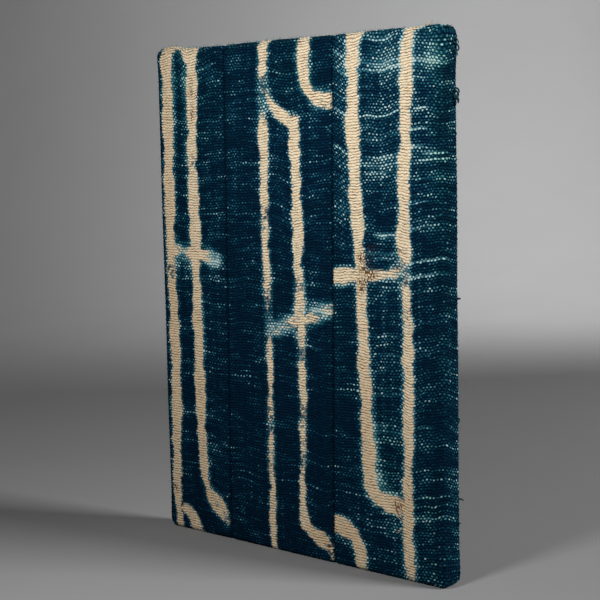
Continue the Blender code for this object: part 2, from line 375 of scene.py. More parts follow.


# %% [markdown]
# ## The resist pattern
# The pattern is a few bound lines, bars and hooks. Each is a short path listed along the panel in
# millimetres, with the half width that the binding had there. A path is rounded off, given the
# small unevenness of hand binding, and every vertex of the cloth stores how far it lies outside the
# nearest line. The finish turns that distance into cream yarn with a ragged edge.

# %% The bound lines of each strip: X, Z and half width, in millimetres
BOUND_LINES = {
    "left": (
        # the line along the left edge
        ((-50, 180, 1.5), (-55, 179.5, 1.8), (-58.3, 177.5, 2.9), (-58.4, 165, 2.7),
         (-58.8, 137, 2.6), (-58.9, 112, 2.6), (-59.2, 104, 2.2), (-58.4, 80, 2.5),
         (-58.2, 52, 2.6), (-59.4, 20, 2.2), (-59.2, 9, 1.8), (-58.6, 3, 1.9), (-57.8, -2, 1.6)),
        # its foot
        ((-57.6, 7.6, 0.8), (-55.2, 8.2, 2), (-52.2, 6.4, 2.9), (-49.8, 3.2, 2.9),
         (-47.8, -1.5, 2.2)),
        # the crossbar
        ((-59, 105.4, 2.2), (-56, 105.6, 2.2), (-52.5, 105, 1.2), (-48.4, 104.2, 2),
         (-42.5, 104.2, 2.3), (-38.5, 103.2, 2.5), (-34.6, 102.4, 1.9)),
        # the inner line
        ((-46, 184, 2.4), (-46.1, 179, 5.2), (-46, 176.5, 4.2), (-45.6, 173.5, 2.7),
         (-45.6, 160, 2.6), (-46.6, 138, 2.5), (-46.7, 135.5, 1.6), (-46.3, 128, 3),
         (-46, 112, 2.8), (-46.1, 100, 2.1), (-45.8, 75, 2.4), (-45.8, 52, 2.6), (-45.4, 33, 2.2),
         (-44.2, 21, 1.8), (-43, 17, 1.2)),
        # its hook
        ((-43.2, 17.5, 1.6), (-40.6, 14, 2.6), (-37.2, 11.4, 3.2), (-34.8, 8.6, 2.4),
         (-33.4, 6, 1)),
    ),
    "middle": (
        # the thin line
        ((-8.5, 181, 1.6), (-10.4, 178.2, 2.3), (-10.8, 172, 1.8), (-11.1, 161, 2),
         (-11, 156.5, 1.4), (-11.2, 147, 2.2), (-11.4, 125, 1.9), (-11.5, 107, 1.6), (-11, 96, 1.8),
         (-10.9, 85, 1), (-10.3, 70, 1.4), (-10.7, 55.5, 1), (-10.5, 52.5, 1.8), (-11, 40, 1.3),
         (-10.6, 22, 1.5), (-10.7, 8, 1.5), (-10.6, 1, 1.7), (-10.6, -3, 1.2)),
        # the slant that leaves it
        ((-10.6, 161, 2.1), (-8.3, 157.2, 2.2), (-4.2, 154.2, 2.2), (2.6, 149.9, 2.3)),
        # the middle line and its foot
        ((3, 151.5, 2), (3, 140, 2.3), (3.5, 122, 2.1), (3.7, 109, 2.4), (3.2, 102.5, 1.8),
         (3.9, 97, 2.1), (4.1, 86, 2.2), (4.4, 72, 1.7), (4.6, 58, 1.6), (4.3, 46, 1.8),
         (4, 36.5, 1.2), (3.6, 25, 1.5), (3.3, 16, 1.9), (4.4, 12, 2.2), (8, 9.2, 2.1),
         (12.6, 7.4, 2.6), (15.4, 5.2, 2.3), (17.4, 1.5, 1.5)),
        # the broken bar
        ((-7.8, 79.4, 2.2), (-3, 81.2, 2.3), (3, 82.6, 2), (7, 83.6, 1.8), (11.5, 86, 2.4),
         (19, 88, 2.2)),
        # the hook at the top, cut off by the seam
        ((8.8, 182, 2.2), (8.3, 178, 2.3), (7.2, 171, 2.7), (7.6, 165.5, 2.2), (9, 161.4, 2.2),
         (12, 158.4, 2.4), (16.4, 157, 2.6), (22, 157.3, 3)),
    ),
    "right": (
        # the inner line and its foot
        ((30.5, 182, 3), (29.3, 178.5, 3.1), (28.7, 174, 2.5), (28.7, 166, 2.4), (28.3, 155, 2.4),
         (28.4, 145, 2.8), (28.8, 132, 2.5), (29.9, 114, 2.5), (30.7, 103, 2.2), (30.8, 96, 1.8),
         (31.1, 82, 2.4), (32.1, 60, 2.4), (32.9, 38, 2.7), (33.8, 29.5, 2.9), (36, 26.2, 3.1),
         (40, 25, 3), (45.4, 24.8, 2.9)),
        # the outer line
        ((54.5, 180.6, 2.4), (51.6, 178.6, 2.3), (50.7, 174, 2.3), (50, 162, 2.3), (49.5, 145, 2.3),
         (48.8, 133, 2.2), (48.5, 117, 2.4), (48.5, 111.8, 3), (48.9, 105, 1.8), (49, 101, 1.4),
         (49.3, 96, 1.9), (49.6, 84, 1.8), (49.7, 70, 2.3), (49.4, 48, 1.9), (48.9, 28, 1.8),
         (48.9, 13, 2.4), (49.3, 5, 2.1), (49.8, 0.5, 1.6), (50, -2, 0.8)),
        # the crossbar, cut off by the seam
        ((15, 99, 2.3), (18, 99.2, 2.4), (23, 99.6, 2.4), (30, 99.8, 2.2), (38.5, 100.2, 1.9),
         (47.7, 101.6, 1.6)),
        # the arch at the base, cut off by the seam
        ((14.5, 13.8, 3.5), (18, 14.2, 3.6), (21, 14.3, 3.6), (24, 13, 3.1), (26.6, 11.2, 2.7),
         (28.1, 8.6, 2.5), (28.9, 4.5, 2.3), (29.6, 0.5, 1.8), (29.6, -3, 1.1)),
    ),
}
PATH_STEP = 0.4
PATH_SOFTNESS = 1.0
HAND_WANDER = 0.19
HAND_WIDTH = 0.12
RESIST_CREEP = 0.24
SEARCH_REACH = 6
FAR_AWAY = 99.0
STORED_REACH = 4


# %% [markdown]
# Distance to a line with a width is the distance to its nearest point, less the half width there.
# Worked out once on the vertices, it leaves the finish with a single smooth number to read.

# %% Distance from the bound lines
def bound_path(points, seed):
    """A bound line as many close points: X, Z and half width, rounded off and a little uneven."""
    points = np.array(points, float)
    legs = np.hypot(*np.diff(points[:, :2], axis=0).T)
    run = np.concatenate([[0], np.cumsum(legs)])
    steps = np.arange(0, run[-1], PATH_STEP)
    path = np.stack([np.interp(steps, run, column) for column in points.T], axis=1)
    reach = int(3 * PATH_SOFTNESS / PATH_STEP)
    weights = np.exp(-0.5 * (np.arange(-reach, reach + 1) * PATH_STEP / PATH_SOFTNESS) ** 2)
    padded = np.vstack([path[:1]] * reach + [path] + [path[-1:]] * reach)
    soft = [np.convolve(column, weights / weights.sum(), mode="valid") for column in padded.T]
    path = np.stack(soft, axis=1)
    path[:, 0] += HAND_WANDER * (np.sin(steps / 3.1 + seed) + 0.6 * np.sin(steps / 1.3 + 2 * seed))
    uneven = np.sin(steps / 4.3 + 3 * seed) + 0.7 * np.sin(steps / 1.7 + seed)
    path[:, 2] = (path[:, 2] - RESIST_CREEP) * (1 + HAND_WIDTH * uneven)
    return path


bound_paths = {
    side: [bound_path(points, seed) for seed, points in enumerate(lines)]
    for side, lines in BOUND_LINES.items()
}


def outside_lines(side, x, z):
    """How far points lie outside a strip's nearest bound line (mm); negative is inside."""
    x, z = x * 1000, z * 1000
    nearest = np.full(len(x), FAR_AWAY)
    for path in bound_paths[side]:
        low = path[:, :2].min(axis=0) - SEARCH_REACH
        high = path[:, :2].max(axis=0) + SEARCH_REACH
        close = np.flatnonzero((x > low[0]) & (x < high[0]) & (z > low[1]) & (z < high[1]))
        gap = np.hypot(x[close, None] - path[None, :, 0], z[close, None] - path[None, :, 1])
        outside = (gap - path[None, :, 2]).min(axis=1)
        nearest[close] = np.minimum(nearest[close], outside)
    return nearest


print("bound lines in each strip:", {side: len(paths) for side, paths in bound_paths.items()})

# %% [markdown]
# ## Marks of age, and painted shade
# Dye crept into the resist in places and left it blue and thin; a few spots are stained brown; and
# some rows are rubbed until their floats are nearly white. These are soft spots, listed and stored
# on the vertices, so that all finishes can read them.

# %% Spots: X, Z, reach in X, reach in Z (millimetres), strength
SEEPED_DYE = (
    (-59, 98, 4, 4, 0.5), (-52.6, 105, 2.5, 4, 0.7), (-36, 102.8, 3.5, 4, 0.8),
    (-10.8, 158, 2.6, 5.5, 1.1), (-11, 165, 3, 3, 0.5), (-10.9, 85, 3, 9, 0.6),
    (-10.9, 118, 2.5, 5, 0.5), (-10.8, 46, 3, 7, 0.55), (-10.8, 30, 3, 5, 0.3),
    (3.8, 95.5, 3, 3, 0.6), (4.4, 72, 3, 5, 0.55), (4.4, 50, 3, 5, 0.5), (4, 34, 3, 6, 0.5),
    (-4.5, 80.5, 6, 3.5, 0.75), (13.5, 87, 7, 3.5, 0.85), (18.3, 157, 2.5, 4, 0.3),
    (7.5, 172, 3, 4, 0.25), (49, 101.5, 3, 4, 0.75), (49.6, 86, 2.5, 3, 0.35),
    (41.5, 100.4, 6, 2.5, 0.3), (-33.5, 7, 3, 3, 0.4), (16.2, 4, 2.5, 3.5, 0.6),
    (49.6, 1, 3, 2.5, 0.45), (-46.8, 137, 2.5, 3, 0.3), (-34, 16, 3, 6, 0.2),
)
BROWN_STAINS = (
    (31.6, 106, 1.8, 1.6, 0.9), (33.4, 104.6, 1.4, 1.8, 0.9), (32, 101.8, 1.8, 1.8, 0.9),
    (35.2, 100.6, 1.8, 2, 0.95), (32.2, 98, 2.6, 0.8, 0.9), (30.9, 95.8, 1.3, 1.8, 0.9),
    (46.2, 103, 1.8, 1.3, 0.9), (48.8, 100.6, 1, 1.3, 0.9), (-46.1, 162.4, 1, 1.4, 0.75),
    (-45.7, 155, 0.7, 3.2, 0.6), (-45.5, 166.5, 0.6, 1.6, 0.45), (-60.4, 15, 1.2, 2, 0.6),
    (44.8, 25, 1.6, 2, 0.8), (47, 108.5, 2.5, 1.2, 0.35), (35, 108.5, 2.5, 1.5, 0.5),
)
RUBBED_PATCHES = (
    (58, 175, 10, 8, 0.2), (42, 171, 9, 8, 0.12), (46, 140, 16, 22, 0.06),
    (0, 181.5, 300, 2.2, 0.34), (42, 172, 9, 9, 0.1), (60, 165, 5, 9, 0.12), (40, 167.5, 9, 3, 0.3),
    (40, 176.5, 8, 1.6, 0.22), (23, 165, 4, 9, 0.18), (60, 168, 6, 3, 0.22),
    (60.5, 172, 4, 5, 0.12), (41, 113, 4, 1.2, 0.45), (23, 120, 4, 6, 0.12),
    (40, 136, 7, 3.5, 0.14), (38.5, 90, 4, 4, 0.18), (40, 50, 6, 3, 0.12), (39, 32, 3, 2.5, 0.28),
    (58, 139, 7, 3, 0.14), (57, 116, 8, 2, 0.14), (56, 53, 6, 2.5, 0.14), (40, 106, 5, 3, 0.1),
    (41, 95, 5, 4, 0.12), (-37.5, 168, 5, 3.5, 0.14), (-51, 168, 4, 5, 0.14),
    (-27, 158, 6, 6, 0.12), (-4, 146, 5, 5, 0.16), (-4, 125, 5, 6, 0.1), (-37, 102, 4, 4, 0.25),
    (-39.5, 84, 5, 4, 0.12), (-38, 27, 4, 4, 0.14), (-53, 103, 5, 6, 0.12), (-44, 44, 5, 4, 0.15),
    (12, 88, 8, 4, 0.2), (-4, 80, 6, 4, 0.15), (35, 9, 6, 5, 0.12), (43, 18, 4, 4, 0.18),
    (57, 6, 5, 4, 0.1), (13, 148, 7, 6, 0.08),
)
# Single rows rubbed nearly white: X from, X to, Z, strength
PALE_ROWS = (
    (20, 27, 167.3, 0.55), (20, 27, 159.3, 0.45), (20, 27, 153.8, 0.6), (20, 26, 141.3, 0.55),
    (20, 24, 172.8, 0.5), (32, 48, 167.3, 0.45), (33, 46, 169.5, 0.35), (35, 45, 177.2, 0.35),
    (33, 47, 152.4, 0.6), (38, 42, 163, 0.35), (34, 46, 145.4, 0.35), (32, 46, 138.8, 0.4),
    (33, 47, 136.2, 0.4), (33, 45, 133.9, 0.4), (36, 45, 113.4, 0.45), (33, 45, 107.4, 0.6),
    (36, 44, 105.7, 0.35), (33, 46, 80.2, 0.3), (35, 46, 74.2, 0.4), (35, 46, 60.6, 0.4),
    (37, 43, 62.4, 0.4), (35, 46, 50.5, 0.4), (36, 46, 48.6, 0.35), (50, 66, 168.2, 0.35),
    (53, 58, 162.8, 0.5), (53, 58, 153.4, 0.75), (51, 58, 147, 0.75), (52, 57, 141.6, 0.6),
    (56, 66, 139.4, 0.5), (55, 66, 137.2, 0.5), (53, 64, 131.3, 0.45), (50, 58, 124.1, 0.6),
    (50, 61, 115.9, 0.4), (50, 66, 105.2, 0.75), (50, 60, 100.6, 0.8), (60, 66, 100.6, 0.4),
    (54, 62, 85.4, 0.35), (53, 60, 51, 0.4), (54, 57, 62.2, 0.55), (50, 65, 22.1, 0.55),
    (52, 63, 28.9, 0.4), (57, 64, 75, 0.3), (-8, 2, 117.6, 0.5), (-33, -21, 93.9, 0.35),
    (-33, -25, 42.3, 0.35), (-31, -22, 30.6, 0.4), (-33, -17, 23.1, 0.4), (6, 14, 74.4, 0.7),
    (6, 13, 26.6, 0.4), (5, 15, 19.7, 0.4), (9, 17, 127.6, 0.25), (11, 17, 113, 0.3),
    (-23, -13, 106.3, 0.25), (-42, -33, 171.6, 0.45), (-42, -34, 167, 0.35), (-54, -47, 53.2, 0.25),
    (-54, -47, 45, 0.3), (-40, -34, 112, 0.2), (-53, -47, 109, 0.25), (-24, -18, 86, 0.25),
)
PALE_ROW_REACH = 0.42
# Where cream has gone tan
TANNED_PARTS = (
    (-59, 90, 6, 110, 0.55), (-46, 50, 6, 55, 0.5), (32, 45, 6, 40, 0.55), (49, 25, 5, 35, 0.5),
    (-40, 12, 9, 8, 0.4), (22, 12, 9, 10, 0.6), (10, 8, 9, 7, 0.5), (42, 26, 7, 5, 0.3),
    (-10.8, 30, 4, 30, 0.3),
)
# Darker (negative) and lighter parts of the dyed ground: darker towards the foot, lighter near the
# top and the right; partly the dye's own unevenness, partly painted shade and painted light
GROUND_TONES_AND_SHADE = (
    (0, 40, 30, 48, -0.45), (-40, 60, 12, 60, -0.15), (-50, 18, 12, 20, -0.35),
    (22, 50, 8, 45, -0.25), (58, 60, 8, 60, -0.15), (50, 160, 25, 25, 0.2), (-5, 165, 20, 14, 0.15),
    (60, 95, 4, 12, -0.3),
)
# Where dye was drawn in under the binding's edge, and left a wide pale fringe
BLEEDING = (
    (-52.5, 165, 5, 16, 0.9), (-52.5, 140, 4, 12, 0.4), (-52.5, 104, 6, 7, 0.9),
    (-36, 103, 6, 5, 0.9), (-42.5, 75, 4, 16, 0.5), (-41, 25, 5, 9, 0.5), (-47, 14, 5, 7, 0.4),
    (-11, 160, 5, 6, 0.9), (-11, 172, 4, 8, 0.5), (7, 170, 5, 10, 0.7), (14, 157, 6, 5, 0.7),
    (-3, 81, 7, 5, 1), (12, 86.5, 8, 5, 1), (4, 90, 4, 10, 0.6), (4.4, 60, 4, 18, 0.4),
    (-10.8, 90, 4, 18, 0.6), (-10.8, 35, 4, 20, 0.4), (36, 42, 5, 18, 0.9), (38, 28, 7, 6, 0.9),
    (46.5, 100, 5, 10, 0.6), (22, 99, 6, 4, 0.6), (49.5, 60, 4, 20, 0.35), (49.5, 8, 5, 8, 0.7),
    (20, 12, 8, 6, 0.4), (29, 172, 4, 8, 0.5), (51, 172, 4, 8, 0.4),
)
# Where the indigo has gone green
GREENED_PARTS = (
    (64, 150, 5, 60, 0.7), (-50, 165, 14, 22, 0.5), (-48, 120, 12, 30, 0.3), (22, 60, 8, 40, 0.3),
    (2, 168, 12, 14, 0.5), (60, 20, 8, 30, 0.4), (40, 40, 6, 20, 0.5),
)


def spots(table, x, z):
    """The summed strength of soft spots at each point."""
    total = np.zeros_like(x)
    for at_x, at_z, reach_x, reach_z, strength in table:
        away = ((x * 1000 - at_x) / reach_x) ** 2 + ((z * 1000 - at_z) / reach_z) ** 2
        total += strength * np.exp(-away)
    return total


def pale_rows(x, z):
    """How strongly each point is rubbed along single rows of weft."""
    x, z = x * 1000, z * 1000
    total = np.zeros_like(x)
    for from_x, to_x, row_z, strength in PALE_ROWS:
        close = np.flatnonzero(np.abs(z - row_z) < 3 * PALE_ROW_REACH)
        ends = ease((x[close] - from_x) + 0.5) * ease((to_x - x[close]) + 0.5)
        total[close] += strength * ends * np.exp(-((z[close] - row_z) / PALE_ROW_REACH) ** 2)
    return total


# %% [markdown]
# ## Relief of the cloth
# Large first: the cloth swells where its corners are tucked and where it is slack along a side, and
# dips into each seam. Then the weave: weft yarn rises over one warp and dives under the next, so
# each crossing is a small hump on one row and a hollow on its neighbours. Handspun yarn is thick
# and thin, so no two rows are alike.

# %% Swells, and the weave's own relief
# X, Z, reach in X, reach in Z, height, in metres
SWELLS = (
    (-0.0575, 0.1775, 0.0062, 0.0050, 0.0013),
    (0.0625, 0.1735, 0.0060, 0.0065, 0.0008),
    (-0.0620, 0.0040, 0.0055, 0.0060, 0.0004),
    (0.0620, 0.0050, 0.0060, 0.0070, 0.0004),
    (-0.0640, 0.1180, 0.0080, 0.0240, 0.0002),
    (-0.0640, 0.0480, 0.0080, 0.0200, 0.0003),
    (0.0640, 0.1250, 0.0080, 0.0200, 0.0003),
    (0.0640, 0.0700, 0.0080, 0.0160, 0.0002),
    (-0.0080, 0.1785, 0.0150, 0.0060, 0.0002),
    (0.0420, 0.1785, 0.0090, 0.0060, 0.0003),
)
FACE_SHARE_OF_SWELL = 0.35
SEAM_DIP = 0.0005
SEAM_DIP_REACH = 0.0008
SEAM_SHADE_REACH = 0.0004
FLOAT_HEIGHT = 0.00020
YARN_UNEVENNESS = 0.25


def hash_noise(a, b):
    """A fixed random number from 0 to 1 for each pair of numbers."""
    wave = np.sin(a * 127.1 + b * 311.7) * 43758.5453
    return wave - np.floor(wave)


def weave_relief(warp, weft):
    """How high the yarn stands, from 0 in the hollows to about 1 on a float."""
    row = np.rint(weft)
    on_row = 1 - 2 * np.abs(weft - row)
    over = 0.5 + 0.5 * np.cos(math.pi * warp) * np.where(row % 2 == 0, 1, -1)
    yarn = 1 + YARN_UNEVENNESS * (hash_noise(row, 3.0) + hash_noise(row, np.floor(warp / 5)) - 1)
    return on_row * (0.3 + 0.7 * over) * yarn


def broad_rise(x, z, place, normal):
    """How far the cloth as a whole stands out from the plain fold: its swells and its seams."""
    swell = np.zeros_like(x)
    for at_x, at_z, reach_x, reach_z, height in SWELLS:
        away = ((place[:, 0] - at_x) / reach_x) ** 2 + ((place[:, 2] - at_z) / reach_z) ** 2
        swell += height * np.exp(-away)
    swell *= 1 - (1 - FACE_SHARE_OF_SWELL) * np.abs(normal[:, 1])
    swell *= 1 - np.clip(-1.5 * normal[:, 2], 0, 1)
    return swell - SEAM_DIP * np.exp(-(from_seam(x, z) / SEAM_DIP_REACH) ** 2)


def places_on_cloth(points):
    """Places on the folded cloth, from X, Z and lift in millimetres of flat cloth."""
    x, z, lift = np.array(points, float).T / 1000
    place, normal = fold(x, z)
    return place + normal * (broad_rise(x, z, place, normal) + lift)[:, None]


# %% [markdown]
# ## Making the three strips
# Each strip is cut flat, measured (a sheet keeps its area when it is folded), given its marks, then
# folded and raised. Solidify gives it thickness towards the board. The cloth that touches the floor
# is pressed flat.

# %% Fold a strip
FLOOR_CLEARANCE = 0.00002
# the marks that are nothing but spots, under the names that the finish reads
MARKS = {"seeped": SEEPED_DYE, "stained": BROWN_STAINS, "tanned": TANNED_PARTS,
         "greened": GREENED_PARTS, "bleeding": BLEEDING}


def vertex_threads(mesh):
    """The thread count at each vertex, read back from the UV map."""
    threads = np.zeros((len(mesh.vertices), 2))
    threads[corner_vertices(mesh)] = read_vectors(mesh.uv_layers["threads"].data, "uv", 2)
    return threads


def store(mesh, name, values):
    """Keep a number for each vertex, for the finishes to read."""
    kept = mesh.attributes.new(name, "FLOAT", "POINT")
    kept.data.foreach_set("value", np.asarray(values, np.float32))


def finish_strip(strip, side):
    """Mark, fold, raise and thicken a flat strip. Gives its flat area."""
    mesh = strip.data
    flat_area = float(sum(face.area for face in mesh.polygons))
    flat = read_vectors(mesh.vertices, "co", 3)
    threads = vertex_threads(mesh)
    across, along = wander(flat[:, 0], flat[:, 2])
    x = flat[:, 0] + across
    z = flat[:, 2] + along

    outside = np.clip(outside_lines(side, x, z), -STORED_REACH, STORED_REACH)
    store(mesh, "outside_lines", outside)
    for mark, table in MARKS.items():
        store(mesh, mark, np.clip(spots(table, x, z), 0, 1))
    rubbed = spots(RUBBED_PATCHES, x, z) + pale_rows(flat[:, 0], flat[:, 2])
    store(mesh, "rubbed", np.clip(rubbed, 0, 1))
    store(mesh, "tone_and_shade", np.clip(spots(GROUND_TONES_AND_SHADE, x, z), -1, 1))
    # nearness to a seam, for painted shade in its groove
    store(mesh, "seam_shade", np.exp(-(from_seam(x, z) / SEAM_SHADE_REACH) ** 2))

    place, normal = fold(x, z)
    relief = FLOAT_HEIGHT * (weave_relief(threads[:, 0], threads[:, 1]) - 0.6)
    place += normal * (broad_rise(x, z, place, normal) + relief)[:, None]
    place[:, 2] = np.maximum(place[:, 2], BASE_Z + FLOOR_CLEARANCE)
    mesh.vertices.foreach_set("co", place.astype(np.float32).ravel())
    mesh.update()

    bpy.ops.object.select_all(action="DESELECT")
    strip.select_set(True)
    bpy.context.view_layer.objects.active = strip
    solidify = strip.modifiers.new("Cloth thickness", "SOLIDIFY")
    solidify.thickness = CLOTH_THICKNESS
    solidify.offset = -1.0
    solidify.use_rim = True
    bpy.ops.object.modifier_apply(modifier=solidify.name)
    bpy.ops.object.shade_smooth()
    return flat_area


# %% [markdown]
# The two outer strips go round the sides, so they lose their corners; the middle one only goes over
# the top and under the base. Each takes the place of its plain counterpart in the construction.

# %% Cut and fold all three
STRIPS = {
    "left": ((CUT_LEFT, FACE_LEFT, SEAM_LEFT), (-1,)),
    "middle": ((SEAM_LEFT, SEAM_RIGHT), ()),
    "right": ((SEAM_RIGHT, FACE_RIGHT, CUT_RIGHT), (1,)),
}
strips = {}
flat_sizes = {}
for side, (stops, corner_ways) in STRIPS.items():
    strip = flat_strip(f"woven_strip_{side}", stops)
    width = float(np.abs(np.array(stops[-1]) - np.array(stops[0])).mean())
    length = weft_stops[-1] - weft_stops[0]
    for way_x in corner_ways:
        for way_z in (-1, 1):
            cut_corner(strip, way_x, way_z)
    area = finish_strip(strip, side)
    strips[side] = strip
    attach(strip, "root")
    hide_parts(f"cloth_strip_{side}")
    flat_sizes[side] = (width, length, min(area, width * length))
    print(strip.name, "flat", round(width * 1000, 1), "x", round(length * 1000, 1), "mm,",
          len(strip.data.polygons) * 2, "triangles")

# %% [markdown]
# ## Building finishes out of nodes
# A few helpers keep the node code short. They set or link a socket, add a maths node and give its
# result, or start a node group or a material. Node groups hold what several finishes share.


# %% Node helpers
def feed(tree, socket, given):
    """Link a socket to another one, or set its plain value."""
    if isinstance(given, bpy.types.NodeSocket):
        tree.links.new(given, socket)
    else:
        socket.default_value = given


def calc(tree, operation, *given):
    """A maths node on the given values."""
    maths = tree.nodes.new("ShaderNodeMath")
    maths.operation = operation
    for socket, value in zip(maths.inputs, given):
        feed(tree, socket, value)
    return maths.outputs[0]


def remap(tree, value, low, high, out_low=0.0, out_high=1.0):
    """A smooth step from one range to another."""
    step = tree.nodes.new("ShaderNodeMapRange")
    step.interpolation_type = "SMOOTHSTEP"
    feed(tree, step.inputs["Value"], value)
    bounds = {"From Min": low, "From Max": high, "To Min": out_low, "To Max": out_high}
    for name, bound in bounds.items():
        feed(tree, step.inputs[name], bound)
    return step.outputs["Result"]


def blend_colours(tree, share, first, second, kind="MIX"):
    """Two colours mixed by a share."""
    mix = tree.nodes.new("ShaderNodeMix")
    mix.data_type = "RGBA"
    mix.blend_type = kind
    feed(tree, mix.inputs[0], share)
    feed(tree, mix.inputs[6], first)
    feed(tree, mix.inputs[7], second)
    return mix.outputs[2]


def vector_of(tree, x, y, z=0.0):
    """Three values as one vector."""
    combine = tree.nodes.new("ShaderNodeCombineXYZ")
    for socket, value in zip(combine.inputs, (x, y, z)):
        feed(tree, socket, value)
    return combine.outputs[0]


def cloud(tree, vector, scale, detail=2.0, kind="2D"):
    """Soft noise from 0 to 1."""
    noise = tree.nodes.new("ShaderNodeTexNoise")
    noise.noise_dimensions = kind
    feed(tree, noise.inputs["Vector"], vector)
    noise.inputs["Scale"].default_value = scale
    noise.inputs["Detail"].default_value = detail
    return noise.outputs["Fac"]


def chance(tree, x, y):
    """A random number for each pair of whole numbers."""
    white = tree.nodes.new("ShaderNodeTexWhiteNoise")
    white.noise_dimensions = "2D"
    tree.links.new(vector_of(tree, x, y), white.inputs["Vector"])
    return white.outputs["Value"]


def swing(tree, noise, size):
    """Noise turned into a shift to both sides of 0."""
    return calc(tree, "MULTIPLY_ADD", noise, size, -size / 2)


def new_group(name, numbers, results):
    """A node group that takes the threads and some numbers. A result called Color is a colour."""
    group = bpy.data.node_groups.new(name, "ShaderNodeTree")
    group.interface.new_socket("Threads", in_out="INPUT", socket_type="NodeSocketVector")
    for number in numbers:
        group.interface.new_socket(number, in_out="INPUT", socket_type="NodeSocketFloat")
    for result in results:
        kind = "NodeSocketColor" if result == "Color" else "NodeSocketFloat"
        group.interface.new_socket(result, in_out="OUTPUT", socket_type=kind)
    given = group.nodes.new("NodeGroupInput").outputs
    return group, given, group.nodes.new("NodeGroupOutput").inputs


def across_and_along(group, threads):
    """The count across the warp, and the count along it."""
    split = group.nodes.new("ShaderNodeSeparateXYZ")
    group.links.new(threads, split.inputs[0])
    return split.outputs[0], split.outputs[1]


def place_group(tree, group, threads, weave=(), **given):
    """Put a group into a material. It takes what it can by name from the weave's results, and
    the rest from the given values, where underscores stand for spaces."""
    node = tree.nodes.new("ShaderNodeGroup")
    node.node_tree = group
    feed(tree, node.inputs["Threads"], threads)
    for result in weave:
        if result.name in node.inputs:
            feed(tree, node.inputs[result.name], result)
    for name, value in given.items():
        feed(tree, node.inputs[name.replace("_", " ")], value)
    return node.outputs


def new_finish(name):
    """A new material with its node tree and its shader."""
    material = bpy.data.materials.new(name)
    material.use_nodes = True
    tree = material.node_tree
    return material, tree, tree.nodes["Principled BSDF"]


def place_in_space(tree):
    """Where a point lies on the piece, in metres."""
    return tree.nodes.new("ShaderNodeTexCoord").outputs["Object"]


def add_bump(tree, shader, height, distance, strength=1.0):
    """Small relief from a height."""
    bump = tree.nodes.new("ShaderNodeBump")
    bump.inputs["Distance"].default_value = distance
    bump.inputs["Strength"].default_value = strength
    feed(tree, bump.inputs["Height"], height)
    feed(tree, shader.inputs["Normal"], bump.outputs[0])


# %% [markdown]
# ## Plain weave
# The UV map counts threads, so its whole numbers are thread centres. On even crossings the weft
# lies on top, on odd ones the warp. Two waves, one for each set of threads, say which is higher,
# and each float gets its own random number, which colours it from end to end.

# %% Plain weave as a node group
WEFT_HALF_WIDTH = 0.49
WARP_HALF_WIDTH = 0.38
WAVE_SHARE = 0.42
YARN_SWAY = 0.9
NOISE_SHIFT = 37.0
ROW_SEED = 71.0
COLUMN_SEED = 29.0


def thread_height(tree, wave, off_centre, half_width):
    """Height of one set of threads: its wave, and the roundness of its yarn."""
    slope = calc(tree, "DIVIDE", off_centre, half_width)
    inside = calc(tree, "SUBTRACT", 1.0, calc(tree, "POWER", slope, 2.0))
    inside = calc(tree, "MAXIMUM", inside, 0.0)
    roundness = calc(tree, "MULTIPLY", calc(tree, "SQRT", inside), 1 - WAVE_SHARE)
    return calc(tree, "ADD", calc(tree, "MULTIPLY", wave, WAVE_SHARE), roundness)


def plain_weave():
    """Which yarn is on top at each point, how high it is, and random numbers for each float."""
    group, given, result = new_group("Plain weave", (), (
        "Weft On Top", "Height", "Crest", "Row Gap", "Float Chance", "Row Chance", "Warp Chance",
        "Column Chance", "Row"))
    across, along = across_and_along(group, given["Threads"])
    elsewhere = vector_of(group, calc(group, "ADD", across, NOISE_SHIFT), along)
    sway_u = swing(group, cloud(group, given["Threads"], 0.45), YARN_SWAY)
    sway_v = swing(group, cloud(group, elsewhere, 0.55), YARN_SWAY)
    u = calc(group, "ADD", across, sway_u)
    v = calc(group, "ADD", along, sway_v)
    column = calc(group, "ROUND", u)
    row = calc(group, "ROUND", v)
    off_column = calc(group, "SUBTRACT", u, column)
    off_row = calc(group, "SUBTRACT", v, row)
    odd = calc(group, "FLOORED_MODULO", calc(group, "ADD", column, row), 2.0)
    side = calc(group, "MULTIPLY_ADD", odd, -2.0, 1.0)
    weft_turn = calc(group, "COSINE", calc(group, "MULTIPLY", off_column, math.pi))
    weft_wave = calc(group, "MULTIPLY", weft_turn, side)
    warp_turn = calc(group, "COSINE", calc(group, "MULTIPLY", off_row, math.pi))
    warp_wave = calc(group, "MULTIPLY", calc(group, "MULTIPLY", warp_turn, side), -1.0)
    weft = thread_height(group, weft_wave, off_row, WEFT_HALF_WIDTH)
    warp = thread_height(group, warp_wave, off_column, WARP_HALF_WIDTH)
    higher = calc(group, "SUBTRACT", weft, warp)
    feed(group, result["Weft On Top"], remap(group, higher, -0.08, 0.08))
    feed(group, result["Height"], calc(group, "MAXIMUM", weft, warp))
    from_row = calc(group, "ABSOLUTE", off_row)
    feed(group, result["Row Gap"], remap(group, from_row, 0.20, 0.46))
    on_wave = remap(group, weft_wave, -0.50, 0.75)
    on_row = remap(group, from_row, 0.43, 0.12)
    feed(group, result["Crest"], calc(group, "MULTIPLY", on_wave, on_row))
    float_column = calc(group, "MULTIPLY_ADD", odd, calc(group, "SIGN", off_column), column)
    even = calc(group, "SUBTRACT", 1.0, odd)
    warp_row = calc(group, "MULTIPLY_ADD", even, calc(group, "SIGN", off_row), row)
    feed(group, result["Float Chance"], chance(group, float_column, row))
    feed(group, result["Row Chance"], chance(group, row, ROW_SEED))
    feed(group, result["Warp Chance"], chance(group, calc(group, "ADD", column, 0.5), warp_row))
    feed(group, result["Column Chance"], chance(group, column, COLUMN_SEED))
    feed(group, result["Row"], row)
    return group


weave_group = plain_weave()

